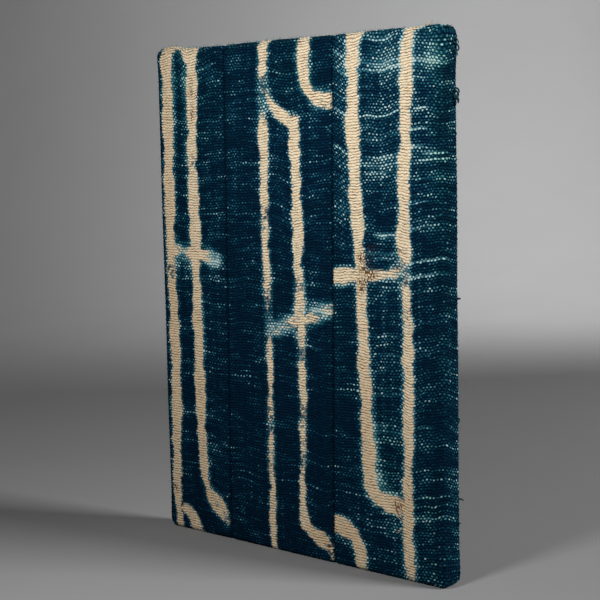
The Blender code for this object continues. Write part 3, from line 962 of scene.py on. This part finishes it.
# %% [markdown]
# ## Dyed yarn
# Indigo sits on the outside of the yarn. The warp, sunk between the wefts, keeps it and is nearly
# black; the tops of the weft floats are rubbed, from teal to almost white, in patches and along
# single rows. The colour is a ramp, and the place on the ramp is a sum of patch, row and float.
# On top of that, painted shade darkens the gaps between rows and the sides of each float, and a
# painted highlight adds to the paleness of each float's crest.

# %% Dyed yarn as a node group
# navy for painted shade in the gaps between rows and in the seams
SHADE_NAVY = (0.0004, 0.0040, 0.0120, 1.0)
WARP_NAVY = (0.0008, 0.0090, 0.0240, 1.0)
WARP_BLUE = (0.0030, 0.0300, 0.0560, 1.0)
# place on the ramp, colour of a weft float
WEFT_RAMP = (
    (0.00, (0.0008, 0.0075, 0.0200)),
    (0.28, (0.0020, 0.0240, 0.0500)),
    (0.50, (0.0080, 0.0800, 0.1250)),
    (0.72, (0.0620, 0.2100, 0.2600)),
    (1.00, (0.5000, 0.6800, 0.6700)),
)
GREENED = (0.80, 1.02, 0.84, 1.0)
DARKEST_LEVEL = 0.12


def dyed_yarn():
    """Colour of indigo yarn: navy with painted shade in the hollows, nearly white where rubbed,
    painted highlight on crests.
    """
    group, given, result = new_group("Dyed yarn", (
        "Weft On Top", "Crest", "Row Gap", "Float Chance", "Row Chance", "Warp Chance",
        "Column Chance", "Rubbed", "Tone", "Greened", "Paleness"), ("Color",))
    across, along = across_and_along(group, given["Threads"])
    wide = vector_of(group, calc(group, "MULTIPLY", across, 0.06),
                     calc(group, "MULTIPLY", along, 0.16))
    streaked = vector_of(group, calc(group, "MULTIPLY", across, 0.09), along)
    drawn_out = vector_of(group, across, calc(group, "MULTIPLY", along, 0.02))
    patch = swing(group, cloud(group, wide, 1.0, 3.0), 0.9)
    streak = swing(group, cloud(group, streaked, 0.9, 1.0), 1.0)
    column = swing(group, cloud(group, drawn_out, 0.35, 2.0), 0.45)
    row = calc(group, "MULTIPLY_ADD", calc(group, "POWER", given["Row Chance"], 3.0), 0.26, -0.07)
    level = calc(group, "ADD", calc(group, "ADD", patch, streak), calc(group, "ADD", row, column))
    speckle = swing(group, cloud(group, given["Threads"], 0.8, 2.0), 0.6)
    # rubbed wear plus the strip's paleness, which is partly painted light
    wear_and_light = calc(group, "ADD", given["Paleness"], given["Rubbed"])
    level = calc(group, "ADD", calc(group, "ADD", level, speckle), wear_and_light)
    # Tone: partly uneven dye, partly painted shade towards the foot and painted light near the top.
    level = calc(group, "MULTIPLY_ADD", given["Tone"], 0.35, level)
    level = calc(group, "MAXIMUM", level, DARKEST_LEVEL)
    single = calc(group, "POWER", given["Float Chance"], 2.0)
    single = calc(group, "MULTIPLY_ADD", single, 0.46, -0.13)
    contrast = calc(group, "MULTIPLY_ADD", level, 1.4, 0.1)
    raised = calc(group, "MULTIPLY_ADD", single, contrast, level)
    raised = calc(group, "ADD", raised, 0.04)
    # Away from its crest a float is darker and on its crest paler: partly dye and wear, partly
    # painted shade and painted highlight.
    filled = calc(group, "MULTIPLY", given["Rubbed"], 0.42)
    sunken = calc(group, "MULTIPLY_ADD", level, 0.42, filled)
    spread = calc(group, "SUBTRACT", raised, sunken)
    ramp = group.nodes.new("ShaderNodeValToRGB")
    stops = ramp.color_ramp.elements
    while len(stops) < len(WEFT_RAMP):
        stops.new(0.5)
    for stop, (position, colour) in zip(stops, WEFT_RAMP):
        stop.position = position
        stop.color = (*colour, 1.0)
    feed(group, ramp.inputs[0], calc(group, "MULTIPLY_ADD", given["Crest"], spread, sunken))
    by_column = remap(group, given["Column Chance"], 0.6, 1.0, 0.5, 1.6)
    warp_light = calc(group, "MULTIPLY", given["Warp Chance"], by_column)
    warp = blend_colours(group, calc(group, "MINIMUM", warp_light, 1.0), WARP_NAVY, WARP_BLUE)
    warp_share = calc(group, "MULTIPLY_ADD", given["Weft On Top"], -0.65, 0.65)
    unrubbed = calc(group, "MAXIMUM", calc(group, "MULTIPLY_ADD", given["Rubbed"], -1.1, 1.0), 0.0)
    warp_share = calc(group, "MULTIPLY", warp_share, unrubbed)
    yarn = blend_colours(group, warp_share, ramp.outputs[0], warp)
    yarn = blend_colours(group, given["Greened"], yarn, GREENED, "MULTIPLY")
    # Painted shade: the gaps between rows are darkened towards navy, less where the yarn is rubbed.
    depth = calc(group, "MULTIPLY_ADD", unrubbed, 0.30, 0.58)
    gap = calc(group, "MULTIPLY", given["Row Gap"], depth)
    feed(group, result["Color"], blend_colours(group, gap, yarn, SHADE_NAVY))
    return group


dyed_group = dyed_yarn()

# %% [markdown]
# ## Undyed yarn, and the edge between
# Under the binding both sets of threads stay cream. Their ribs cast small brown shadows on the
# sunken warp, where age has darkened them too. The edge between cream and blue is ragged because
# each thread drew the dye in by its own length.

# %% Undyed yarn and ragged edge as node groups
CREAM = (0.820, 0.660, 0.428, 1.0)
PALE_CREAM = (0.960, 0.830, 0.610, 1.0)
TANNED_CREAM = (0.700, 0.510, 0.310, 1.0)
# an aged brown, used for painted shade in the hollows of the cream yarn
SHADED_AGED_CREAM = (0.230, 0.130, 0.060, 1.0)
STAIN_BROWN = (0.110, 0.045, 0.012, 1.0)
NOISE_ROW_STEP = 7.31


def undyed_yarn():
    """Colour of yarn that the binding kept out of the dye, with painted shade in its hollows."""
    group, given, result = new_group("Undyed yarn", (
        "Weft On Top", "Height", "Row Gap", "Float Chance", "Tanned"), ("Color",))
    mottle = remap(group, cloud(group, given["Threads"], 0.35, 3.0), 0.35, 0.65)
    light = calc(group, "MULTIPLY", calc(group, "ADD", mottle, given["Float Chance"]), 0.5)
    top = blend_colours(group, light, CREAM, PALE_CREAM)
    top = blend_colours(group, given["Tanned"], top, TANNED_CREAM)
    # Painted shade: darker brown where the yarn lies low, between rows, on the warp and in a few
    # deep gaps.
    low = remap(group, given["Height"], 0.55, 0.10, 0.0, 0.28)
    under = calc(group, "MULTIPLY_ADD", given["Weft On Top"], -0.07, 0.07)
    between = calc(group, "MULTIPLY", given["Row Gap"], 0.66)
    shade = calc(group, "ADD", calc(group, "MAXIMUM", low, between), under)
    deep_gap_shade = remap(group, given["Float Chance"], 0.64, 0.82)
    shade = calc(group, "MULTIPLY_ADD", deep_gap_shade, given["Row Gap"], shade)
    cream = blend_colours(group, calc(group, "MINIMUM", shade, 1.0), top, SHADED_AGED_CREAM)
    feed(group, result["Color"], cream)
    return group


def ragged_edge():
    """How much of the cloth is cream at each point, and how near to cream the rest is."""
    group, given, result = new_group("Ragged edge", (
        "Row", "Float Chance", "Outside", "Seeped", "Bleeding"), ("Cream", "Halo"))
    across, along = across_and_along(group, given["Threads"])
    row_place = vector_of(group, calc(group, "MULTIPLY", across, 0.22),
                          calc(group, "MULTIPLY", given["Row"], NOISE_ROW_STEP))
    tongue = swing(group, cloud(group, row_place, 1.0, 1.0), 1.5)
    fibre_place = vector_of(group, calc(group, "MULTIPLY", across, 0.5), along)
    fibre = swing(group, cloud(group, fibre_place, 2.6, 2.0), 1.3)
    by_float = swing(group, given["Float Chance"], 0.3)
    rag = calc(group, "ADD", tongue, calc(group, "ADD", fibre, by_float))
    edge = calc(group, "ADD", given["Outside"], rag)
    lost = calc(group, "MULTIPLY", given["Float Chance"], 1.6)
    edge = calc(group, "MULTIPLY_ADD", given["Seeped"], lost, edge)
    over_chance = calc(group, "MULTIPLY", given["Seeped"], 1.15)
    over_chance = calc(group, "SUBTRACT", over_chance, given["Float Chance"])
    over_chance = calc(group, "MULTIPLY_ADD", fibre, 0.8, over_chance)
    kept = remap(group, over_chance, 0.45, -0.15)
    within = remap(group, edge, 0.38, -0.32)
    feed(group, result["Cream"], calc(group, "MULTIPLY", within, kept))
    drawn_out = calc(group, "MULTIPLY_ADD", given["Bleeding"], 1.9, 1.0)
    near_edge = remap(group, calc(group, "DIVIDE", edge, drawn_out), 1.9, 0.0)
    feed(group, result["Halo"], calc(group, "POWER", near_edge, 1.5))
    return group


undyed_group = undyed_yarn()
edge_group = ragged_edge()

# %% [markdown]
# ## The finish of the cloth
# The groups come together in one material for each strip. Each strip has its own paleness: partly
# its own dyeing and wear, partly painted light, which makes the right-hand strip the palest.
# Cotton is matt, so roughness is high and there is next to no specular light; the bump node rounds
# each yarn a little more than the mesh does.

# %% The cloth's material
BUMP_DISTANCE = 0.00022
BUMP_STRENGTH = 0.8
COTTON_SPECULAR = 0.02
# paleness of each strip: partly its own dyeing and wear, partly painted light, most on the right
PALENESS_AND_LIGHT = {"left": 0.30, "middle": 0.27, "right": 0.42}
FIBRE_SCALE = 9000.0


def stored(tree, name):
    """A number kept on the vertices."""
    attribute = tree.nodes.new("ShaderNodeAttribute")
    attribute.attribute_name = name
    return attribute.outputs["Fac"]


def cloth_finish(name, paleness_and_light):
    """Dyed and undyed yarn in plain weave. Paleness lightens or darkens the dyed floats, partly as
    painted light.
    """
    material, tree, shader = new_finish(name)
    uv = tree.nodes.new("ShaderNodeUVMap")
    uv.uv_map = "threads"
    threads = uv.outputs[0]
    weave = place_group(tree, weave_group, threads)
    bleeding = stored(tree, "bleeding")
    edge = place_group(tree, edge_group, threads, weave, Outside=stored(tree, "outside_lines"),
                       Seeped=stored(tree, "seeped"), Bleeding=bleeding)
    fringe = calc(tree, "MULTIPLY_ADD", bleeding, 0.14, 0.52)
    rubbed = calc(tree, "MULTIPLY_ADD", edge["Halo"], fringe, stored(tree, "rubbed"))
    dyed = place_group(tree, dyed_group, threads, weave, Rubbed=rubbed, Tone=stored(tree, "tone_and_shade"),
                       Greened=stored(tree, "greened"), Paleness=paleness_and_light)
    cream = place_group(tree, undyed_group, threads, weave, Tanned=stored(tree, "tanned"))
    colour = blend_colours(tree, edge["Cream"], dyed["Color"], cream["Color"])
    flecks = remap(tree, cloud(tree, threads, 1.1, 2.0), 0.46, 0.58)
    on_cream = calc(tree, "MULTIPLY_ADD", edge["Cream"], 0.95, 0.25)
    stain = calc(tree, "MULTIPLY", calc(tree, "MULTIPLY", stored(tree, "stained"), on_cream), 1.7)
    stain = calc(tree, "MULTIPLY", stain, flecks)
    colour = blend_colours(tree, calc(tree, "MINIMUM", stain, 1.0), colour, STAIN_BROWN)
    # Painted shade darkens the cloth towards navy along the groove of each seam.
    seam_shade_share = calc(tree, "MULTIPLY", stored(tree, "seam_shade"), 0.50)
    feed(tree, shader.inputs["Base Color"], blend_colours(tree, seam_shade_share, colour, SHADE_NAVY))

    fibres = cloud(tree, place_in_space(tree), FIBRE_SCALE, 2.0, "3D")
    height = calc(tree, "MULTIPLY_ADD", fibres, 0.35, weave["Height"])
    add_bump(tree, shader, height, BUMP_DISTANCE, BUMP_STRENGTH)
    feed(tree, shader.inputs["Roughness"], remap(tree, weave["Height"], 0.0, 1.0, 0.95, 0.82))
    shader.inputs["Specular IOR Level"].default_value = COTTON_SPECULAR
    return material


for side, paleness_and_light in PALENESS_AND_LIGHT.items():
    strips[side].data.materials.clear()
    strips[side].data.materials.append(cloth_finish(f"indigo cotton, {side} strip", paleness_and_light))
print("cloth finishes:", len(strips))

# %% [markdown]
# ## Threads on top of the weave
# A needle joined the strips, selvage to selvage. Since then warps have snapped, ends have worked
# loose at the right-hand edge and where the crossbars pulled, and the whole cloth has grown a fine
# fuzz. Each of these is a curve with a round section, laid on the folded cloth and made mesh.

# %% A finish for single threads
TWIST_DEPTH = 0.0001


def thread_finish(name, colour, other_colour):
    """Twisted yarn that changes a little along its length."""
    material, tree, shader = new_finish(name)
    where = place_in_space(tree)
    change = remap(tree, cloud(tree, where, 900.0, 1.0, "3D"), 0.35, 0.65)
    colours = (*colour, 1.0), (*other_colour, 1.0)
    feed(tree, shader.inputs["Base Color"], blend_colours(tree, change, *colours))
    add_bump(tree, shader, cloud(tree, where, 6000.0, 1.0, "3D"), TWIST_DEPTH)
    shader.inputs["Roughness"].default_value = 0.95
    shader.inputs["Specular IOR Level"].default_value = COTTON_SPECULAR
    return material


navy_thread = thread_finish("navy thread", (0.002, 0.012, 0.022), (0.004, 0.024, 0.036))
teal_thread = thread_finish("teal thread", (0.030, 0.110, 0.120), (0.006, 0.040, 0.055))
worn_navy_thread = thread_finish("worn navy thread", (0.014, 0.070, 0.088), (0.003, 0.024, 0.038))
pale_thread = thread_finish("pale thread", (0.520, 0.560, 0.480), (0.180, 0.320, 0.330))
cream_thread = thread_finish("cream thread", (0.720, 0.600, 0.430), (0.560, 0.420, 0.260))
brown_thread = thread_finish("brown thread", (0.260, 0.120, 0.045), (0.100, 0.045, 0.018))


# %% [markdown]
# A curve with a bevel is the natural way to make thread: a few points give its run, and the bevel
# its thickness. Converting it to mesh at the end fixes its shape.

# %% Lay threads as curves, and turn them into mesh
def lay_thread_piece(name, side, material, thickness, paths):
    """One piece of many threads. A path is a row of X, Z and lift, in mm of flat cloth."""
    bpy.ops.object.select_all(action="DESELECT")
    bpy.ops.curve.primitive_nurbs_path_add()
    piece = bpy.context.active_object
    piece.name = name
    curve = piece.data
    curve.splines.clear()
    curve.dimensions = "3D"
    curve.bevel_depth = thickness / 2
    curve.bevel_resolution = 0
    curve.resolution_u = 3
    for path in map(places_on_cloth, paths):
        spline = curve.splines.new("NURBS")
        spline.points.add(len(path) - 1)
        spline.order_u = min(4, len(path))
        spline.use_endpoint_u = True
        for point, place in zip(spline.points, path):
            point.co = (*place, 1.0)
            point.radius = 1.0
        spline.points[-1].radius = 0.5
    bpy.ops.object.convert(target="MESH")
    bpy.ops.object.shade_smooth()
    piece = bpy.context.active_object
    piece.data.materials.clear()
    piece.data.materials.append(material)
    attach(piece, "root")
    threads_on[side].append(piece)
    print(piece.name, len(paths), "threads")


# thickness of single threads, in metres
SEWING_YARN = 0.00022
FRAYED_NAVY_YARN = 0.00062
FRAYED_TEAL_YARN = 0.00052
CREAM_YARN = 0.00026
BROWN_YARN = 0.00024
PALE_YARN = 0.00020
FINE_PALE_YARN = 0.00018
FUZZ = 0.00004
COARSE_FUZZ = 0.00005
RANDOM_SEED = 11

threads_on = {side: [] for side in STRIPS}
chooser = np.random.default_rng(RANDOM_SEED)

# %% [markdown]
# The strips are whipped together: each stitch bites into both selvages and climbs a little, in the
# same indigo yarn, so it shows as small bumps along a dark line.

# %% The stitches of both seams
STITCH_PITCH = 2.7
STITCH_SPAN = 0.75
STITCHED_PART = (2.5, 176.0)
# share of the span, and lift off the cloth
STITCH_ARCH = ((-1, -0.25), (-0.6, 0.10), (0, 0.42), (0.6, 0.10), (1, -0.25))
for side, seam in (("left", SEAM_LEFT), ("right", SEAM_RIGHT)):
    stitches = []
    for z in np.arange(*STITCHED_PART, STITCH_PITCH):
        centre = line_x(seam, z / 1000) * 1000
        slant = chooser.uniform(0.3, 0.9)
        span = STITCH_SPAN * chooser.uniform(0.8, 1.2)
        stitches.append([(centre + span * share, z + slant * share, lift)
                         for share, lift in STITCH_ARCH])
    lay_thread_piece(f"seam_stitches_{side}", side, navy_thread, SEWING_YARN, stitches)

# %% [markdown]
# ## Snapped and loose ends
# Each loose end is given one by one: where it leaves the cloth, and how it curls. Distances are in
# millimetres of flat cloth, so X beyond 62 lies round the right-hand edge, and the third number is
# how far the thread stands off.

# %% Loose ends
FRAY_SHIFT = 3.7
FRAY_GROWTH = 0.50


def fray(paths):
    """Loose ends at the far edge of the right-hand side, where they show against the light."""
    return [[(x + FRAY_SHIFT, z, lift * FRAY_GROWTH) for x, z, lift in path] for path in paths]


lay_thread_piece("frayed_ends_navy", "right", worn_navy_thread, FRAYED_NAVY_YARN, fray((
    ((64, 173.5, 0), (65.5, 173, 0.9), (66.5, 172, 1.8), (66, 170.8, 2.2), (65.4, 170.6, 1.4)),
    ((64, 171.5, 0), (65, 171, 1.2), (65.6, 169.8, 2), (65.2, 169.2, 2.6)),
    ((66, 158.9, 0), (66, 158.5, 1.2), (66.5, 157.9, 2), (67, 156.8, 1.6), (66.5, 155.9, 0.6)),
    ((65, 157.5, 0), (65.5, 157.2, 1.4), (65.5, 156.6, 2.4), (66.5, 155.6, 2.6),
     (66.5, 154.6, 1.8)),
    ((66, 155.9, 0), (66, 155.4, 1), (66, 154.4, 1.2), (66, 153.8, 0.4)),
    ((65, 159.2, 0), (66.2, 159.5, 1.1), (67, 158.9, 2.1), (66.8, 157.9, 2.3), (66, 157.3, 1.7)),
    ((65, 155.2, 0), (66, 155.6, 1.3), (66.8, 156.4, 1.6), (66.4, 157.1, 1)),
    ((64, 174.4, 0), (65, 174.8, 0.9), (66, 174.2, 1.5), (66.4, 173, 1.3)),
    ((66, 93.6, 0), (66.2, 93.5, 1.2), (66.5, 93.7, 2.4)),
    ((66, 93.3, 0), (66.2, 93.4, 0.8), (66.8, 93.3, 1.9)),
    ((67, 28.5, 0), (67, 28.6, 1.6), (66.5, 28.4, 3.2), (66, 28.7, 4.4)),
    ((66, 20.6, 0), (66, 20.5, 0.8), (66.5, 20.8, 1.4)),
)))
lay_thread_piece("frayed_ends_teal", "right", teal_thread, FRAYED_TEAL_YARN, fray((
    ((66, 158.6, 0), (66.2, 158.2, 1.5), (67.2, 157.6, 2.2), (67.6, 156.8, 1.6)),
    ((65, 157, 0), (66, 156.4, 1.6), (66.6, 155.7, 1.9), (66.8, 155, 1)),
    ((66, 146, 0), (66, 145.6, 0.7), (66.3, 145, 0.9)),
    ((66, 55.4, 0), (66.2, 55.2, 0.7), (66.8, 54.6, 0.9), (67.2, 53.8, 0.3)),
    ((66, 54.6, 0), (66.4, 54.2, 0.6), (66.8, 53.4, 0.4)),
    ((60, 180.6, 0), (60.6, 181.2, 0.7), (61.4, 181.4, 1.1)),
)))
lay_thread_piece("cream_ends_right", "right", cream_thread, CREAM_YARN, (
    ((56.4, 180.3, 0), (57, 181, 0.7), (57.8, 181.2, 1.3), (58.5, 180.8, 1.5)),
    ((56.8, 180.4, 0), (57.6, 180.8, 0.5), (58.3, 181, 0.6)),
    ((44.6, 16.2, 0.1), (45.3, 16.7, 0.5), (46, 17, 0.5), (46.7, 17.5, 0.3)),
    ((44.8, 15.8, 0.1), (45.5, 16.3, 0.45), (46.3, 16.8, 0.4)),
    ((43.4, 23.4, 0), (44.2, 22.6, 0.6), (45.4, 21.6, 0.8), (46.6, 21.4, 0.6), (47.4, 20.8, 0.2)),
    ((43.8, 22.4, 0), (44.8, 21.4, 0.6), (45.8, 20.8, 0.7), (46.6, 20.2, 0.3)),
    ((45.4, 26.4, 0.1), (46.2, 25, 0.6), (46.4, 23.6, 0.6), (47.2, 22.6, 0.2)),
    ((31, 104.8, 0.1), (32.2, 103.6, 0.6), (33.6, 103.2, 0.5), (34.8, 102, 0.2)),
    ((30.4, 99.8, 0.1), (31.6, 98.8, 0.6), (32.4, 97.4, 0.6), (32, 96, 0.2)),
    ((36.2, 101.6, 0.1), (37.4, 102.2, 0.5), (38.8, 101.8, 0.5), (40, 102.4, 0.2)),
))
lay_thread_piece("brown_ends_right", "right", brown_thread, BROWN_YARN, (
    ((29.8, 105.6, 0), (30.8, 104.6, 0.5), (31.8, 104.6, 0.5), (32.8, 105.4, 0.1)),
    ((31, 102.6, 0), (32, 101.8, 0.6), (33.4, 101.6, 0.5), (34.2, 100.6, 0.1)),
    ((30.2, 97.6, 0), (31.4, 97, 0.5), (32.6, 97.2, 0.5), (33.6, 96.8, 0.1)),
    ((30.6, 96.2, 0), (31.2, 95.4, 0.5), (31, 94.8, 0.3)),
    ((44.6, 103.2, 0), (45.6, 103.6, 0.5), (46.6, 102.8, 0.5), (47.4, 102.6, 0.1)),
    ((44, 24.8, 0), (44.8, 24, 0.6), (44.6, 22.8, 0.5), (45.2, 22, 0.1)),
))
lay_thread_piece("loose_ends_left", "left", brown_thread, BROWN_YARN, (
    ((-49.8, 162.4, 0), (-48.6, 162.2, 0.5), (-47.4, 161.4, 0.5), (-46.6, 160.6, 0)),
    ((-46.6, 155.6, 0), (-45.8, 155, 0.4), (-45.4, 153.8, 0)),
))
lay_thread_piece("pale_ends_left", "left", pale_thread, PALE_YARN, (
    ((-30.6, 181.2, 0.1), (-29.4, 180.6, 0.5), (-28, 180.8, 0.6), (-26.6, 180.4, 0.5),
     (-25.6, 180.8, 0.1)),
    ((-39.6, 13.6, 0.1), (-38.8, 12.6, 0.7), (-37.8, 12.8, 0.8), (-37.6, 11.8, 0.7),
     (-38.6, 11.4, 0.6), (-38.8, 12.4, 0.9)),
    ((-38.4, 13.4, 0.1), (-37.4, 12.4, 0.9), (-38.2, 11.6, 0.9), (-39, 12.2, 0.8),
     (-38.2, 13, 0.9), (-37.2, 12.2, 0.4)),
))
lay_thread_piece("pale_ends_middle", "middle", pale_thread, FINE_PALE_YARN, (
    ((-9.4, 180.6, 0), (-8.8, 181.2, 0.7), (-8, 181, 1.2), (-7.6, 180.4, 0.9)),
    ((-12.4, 180.8, 0), (-11.6, 181.2, 0.5), (-10.6, 181, 0.5)),
    ((7.4, 180.8, 0), (8.4, 181.4, 0.5), (9.6, 181, 0.3)),
))

# %% [markdown]
# ## Fuzz and lint
# Old handspun cotton is never clean-edged. Short fibres stand up all over it and show against the
# light along its outline, and a few longer ones have settled flat on the face.


# %% Short fibres that stand up, and longer ones that lie
# how many, Z from, Z to, shortest and longest
TOP_FUZZ = (260, 176.5, 181.0, 0.4, 1.1)
SIDE_FUZZ = (520, 2.0, 176.0, 0.4, 1.2)
FACE_FUZZ = (420, 2.0, 177.0, 0.3, 0.8)
RIM_FUZZ = (110, 178.5, 183.5, 0.3, 0.9)
LINT = (12, 8.0, 172.0, 1.5, 5.0)
# the band of X, to either side, that lies round the edge of the panel
SIDE_BAND = (61.0, 71.5)
LINT_LIMIT = 60
# share of the lean, and share of the length that it stands off
FIBRE_ARCH = ((0, 0), (0.5, 0.6), (1.3, 0.85))


def standing_fibre(x, z, length):
    """A short fibre that leaves the cloth and bends over."""
    lean_x, lean_z = chooser.normal(0, 0.45, 2)
    return [(x + lean_x * length * share, z + lean_z * length * share, length * lift)
            for share, lift in FIBRE_ARCH]


def lying_fibre(x, z, length):
    """A longer fibre that lies on the cloth in a slow curve."""
    heading = chooser.uniform(0, math.tau)
    bend = chooser.normal(0, 0.5)
    points = []
    for step in np.linspace(0, length, 5):
        angle = heading + bend * step / length
        lift = chooser.uniform(0.16, 0.28)
        points.append((x + step * math.cos(angle), z + step * math.sin(angle), lift))
    return points


def scatter(fibre, from_x, to_x, spread):
    """Many fibres between two X, by a row of the table above."""
    count, from_z, to_z, shortest, longest = spread
    made = []
    for _ in range(count):
        x, z = chooser.uniform(from_x, to_x), chooser.uniform(from_z, to_z)
        made.append(fibre(x, z, chooser.uniform(shortest, longest)))
    return made


# a strip's name, then X from, X to; fibres stand thickest along the outline
strip_reach = {"left": (-68.5, -31.0), "middle": (-30.0, 18.0), "right": (19.5, 68.5)}
for side, (from_x, to_x) in strip_reach.items():
    fibres = scatter(standing_fibre, from_x, to_x, TOP_FUZZ)
    if side != "middle":
        band = sorted(math.copysign(x, from_x + to_x) for x in SIDE_BAND)
        fibres += scatter(standing_fibre, *band, SIDE_FUZZ)
    fibres += scatter(standing_fibre, from_x, to_x, FACE_FUZZ)
    lay_thread_piece(f"fuzz_{side}", side, teal_thread, FUZZ, fibres)
    rim = scatter(standing_fibre, from_x, to_x, RIM_FUZZ)
    lay_thread_piece(f"rim_fuzz_{side}", side, pale_thread, COARSE_FUZZ, rim)
    lint = scatter(lying_fibre, max(from_x, -LINT_LIMIT), min(to_x, LINT_LIMIT), LINT)
    lay_thread_piece(f"lint_{side}", side, teal_thread, COARSE_FUZZ, lint)

# %% [markdown]
# Each strip is a sheet that was cut flat and stretched over the board. Its sewing, loose ends and
# fuzz go with it.

# %% Count the pieces of thread on each strip
for side, (width, length, area) in flat_sizes.items():
    print(strips[side].name, "with", len(threads_on[side]), "pieces of thread")

# %% [markdown]
# ## The board
# Only its back shows, inside the turned-in cloth. It is plain unfinished wood, so its finish is
# grain drawn out along the board, a little dust, and pores as bump.


# %% Bare wood
GRAIN_SCALE = (220.0, 220.0, 9.0)
DARK_WOOD = (0.33, 0.21, 0.115, 1.0)
LIGHT_WOOD = (0.52, 0.37, 0.225, 1.0)
DUSTY_WOOD = (0.42, 0.28, 0.16, 1.0)
PORE_DEPTH = 0.0002


def wood_finish():
    """Bare wood with its grain along Z."""
    material, tree, shader = new_finish("bare board")
    mapping = tree.nodes.new("ShaderNodeMapping")
    mapping.inputs["Scale"].default_value = GRAIN_SCALE
    tree.links.new(place_in_space(tree), mapping.inputs["Vector"])
    grain = cloud(tree, mapping.outputs[0], 1.0, 4.0, "3D")
    broad = cloud(tree, mapping.outputs[0], 0.18, 2.0, "3D")
    colour = blend_colours(tree, remap(tree, grain, 0.3, 0.7), DARK_WOOD, LIGHT_WOOD)
    dust = remap(tree, broad, 0.4, 0.7, 0.0, 0.5)
    feed(tree, shader.inputs["Base Color"], blend_colours(tree, dust, colour, DUSTY_WOOD))
    feed(tree, shader.inputs["Roughness"], remap(tree, grain, 0.2, 0.8, 0.9, 0.7))
    add_bump(tree, shader, grain, PORE_DEPTH, 0.4)
    return material


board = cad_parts["mounting_board"]
board.data.materials.clear()
board.data.materials.append(wood_finish())

# %% [markdown]
# ## Floor and light
# A pale sweep of paper runs from under the panel and up in a wide bend behind it, so no line shows
# where floor turns into wall. It starts as one plane, whose far edge is extruded step by step.

# %% Floor and backdrop
SWEEP_HALF_WIDTH = 2.5
SWEEP_FRONT = 3.0
SWEEP_BACK = 1.181
SWEEP_BEND = 0.499
SWEEP_HEIGHT = 1.4
SWEEP_STEPS = 24
SWEEP_TURN = -0.041
DARK_PAPER = (0.24, 0.24, 0.243, 1.0)
LIGHT_PAPER = (0.26, 0.26, 0.263, 1.0)


def paper_finish():
    """Matt grey paper, a little uneven."""
    material, tree, shader = new_finish("pale paper")
    mottle = cloud(tree, place_in_space(tree), 14.0, 3.0, "3D")
    paper = blend_colours(tree, mottle, DARK_PAPER, LIGHT_PAPER)
    feed(tree, shader.inputs["Base Color"], paper)
    shader.inputs["Roughness"].default_value = 0.9
    return material


bpy.ops.object.select_all(action="DESELECT")
bpy.ops.mesh.primitive_plane_add(size=1.0)
sweep = bpy.context.active_object
sweep.name = "paper_sweep"
rows = [(-SWEEP_FRONT, 0.0)]
for step in range(SWEEP_STEPS + 1):
    angle = math.pi / 2 * step / SWEEP_STEPS
    rows.append((SWEEP_BACK - SWEEP_BEND + SWEEP_BEND * math.sin(angle),
                 SWEEP_BEND * (1 - math.cos(angle))))
rows.append((SWEEP_BACK, SWEEP_HEIGHT))
for vertex in sweep.data.vertices:
    end = rows[0] if vertex.co.y < 0 else rows[1]
    vertex.co = (math.copysign(SWEEP_HALF_WIDTH, vertex.co.x), *end)
bpy.ops.object.mode_set(mode="EDIT")
bpy.ops.mesh.select_mode(type="EDGE")
bpy.ops.mesh.select_all(action="DESELECT")
bpy.ops.object.mode_set(mode="OBJECT")
for edge in sweep.data.edges:
    edge.select = all(sweep.data.vertices[i].co.y > rows[0][0] + 0.01 for i in edge.vertices)
bpy.ops.object.mode_set(mode="EDIT")
for (from_y, from_z), (to_y, to_z) in zip(rows[1:], rows[2:]):
    move = (0.0, to_y - from_y, to_z - from_z)
    bpy.ops.mesh.extrude_region_move(TRANSFORM_OT_translate={"value": move})
bpy.ops.object.mode_set(mode="OBJECT")
sweep.rotation_euler = (0.0, 0.0, -CAMERA_TURN + SWEEP_TURN)
bpy.ops.object.transform_apply(location=True, rotation=True, scale=True)
bpy.ops.object.shade_smooth()
sweep.data.materials.append(paper_finish())

# %% [markdown]
# Three soft lamps. One stands close in front at the height of the panel's top, so that brightness
# falls away towards its foot and a broad shadow opens behind it. One at the right, high and a
# little behind, lifts the side and the floor. One lights the paper only.

# %% Lights
ROOM_COLOUR = (0.95, 0.97, 1.0, 1.0)
ROOM_LIGHT = 0.005
panel_middle = Vector((0.0, 0.0, MIDDLE_Z))


def soft_light(name, place, size, power, aim=panel_middle):
    """A square light that faces the panel, or another place."""
    bpy.ops.object.select_all(action="DESELECT")
    bpy.ops.object.light_add(type="AREA", location=place)
    light = bpy.context.active_object
    light.name = name
    light.data.shape = "SQUARE"
    light.data.size = size
    light.data.energy = power
    light.visible_camera = False
    light.rotation_euler = (aim - Vector(place)).to_track_quat("-Z", "Y").to_euler()


# name, place, size, power in watts
soft_light("near lamp", (0.044, -0.200, 0.200), 0.042, 0.452)
soft_light("side lamp", (0.832, 0.275, 0.664), 0.312, 10.15)
soft_light("backdrop lamp", (-0.182, 0.567, 0.440), 0.204, 4.70, Vector((-0.432, 0.8, 0.3)))
world = bpy.data.worlds.new("soft room")
bpy.context.scene.world = world
world.use_nodes = True
background = world.node_tree.nodes["Background"]
background.inputs["Color"].default_value = ROOM_COLOUR
background.inputs["Strength"].default_value = ROOM_LIGHT
bpy.context.scene.view_settings.view_transform = "Standard"
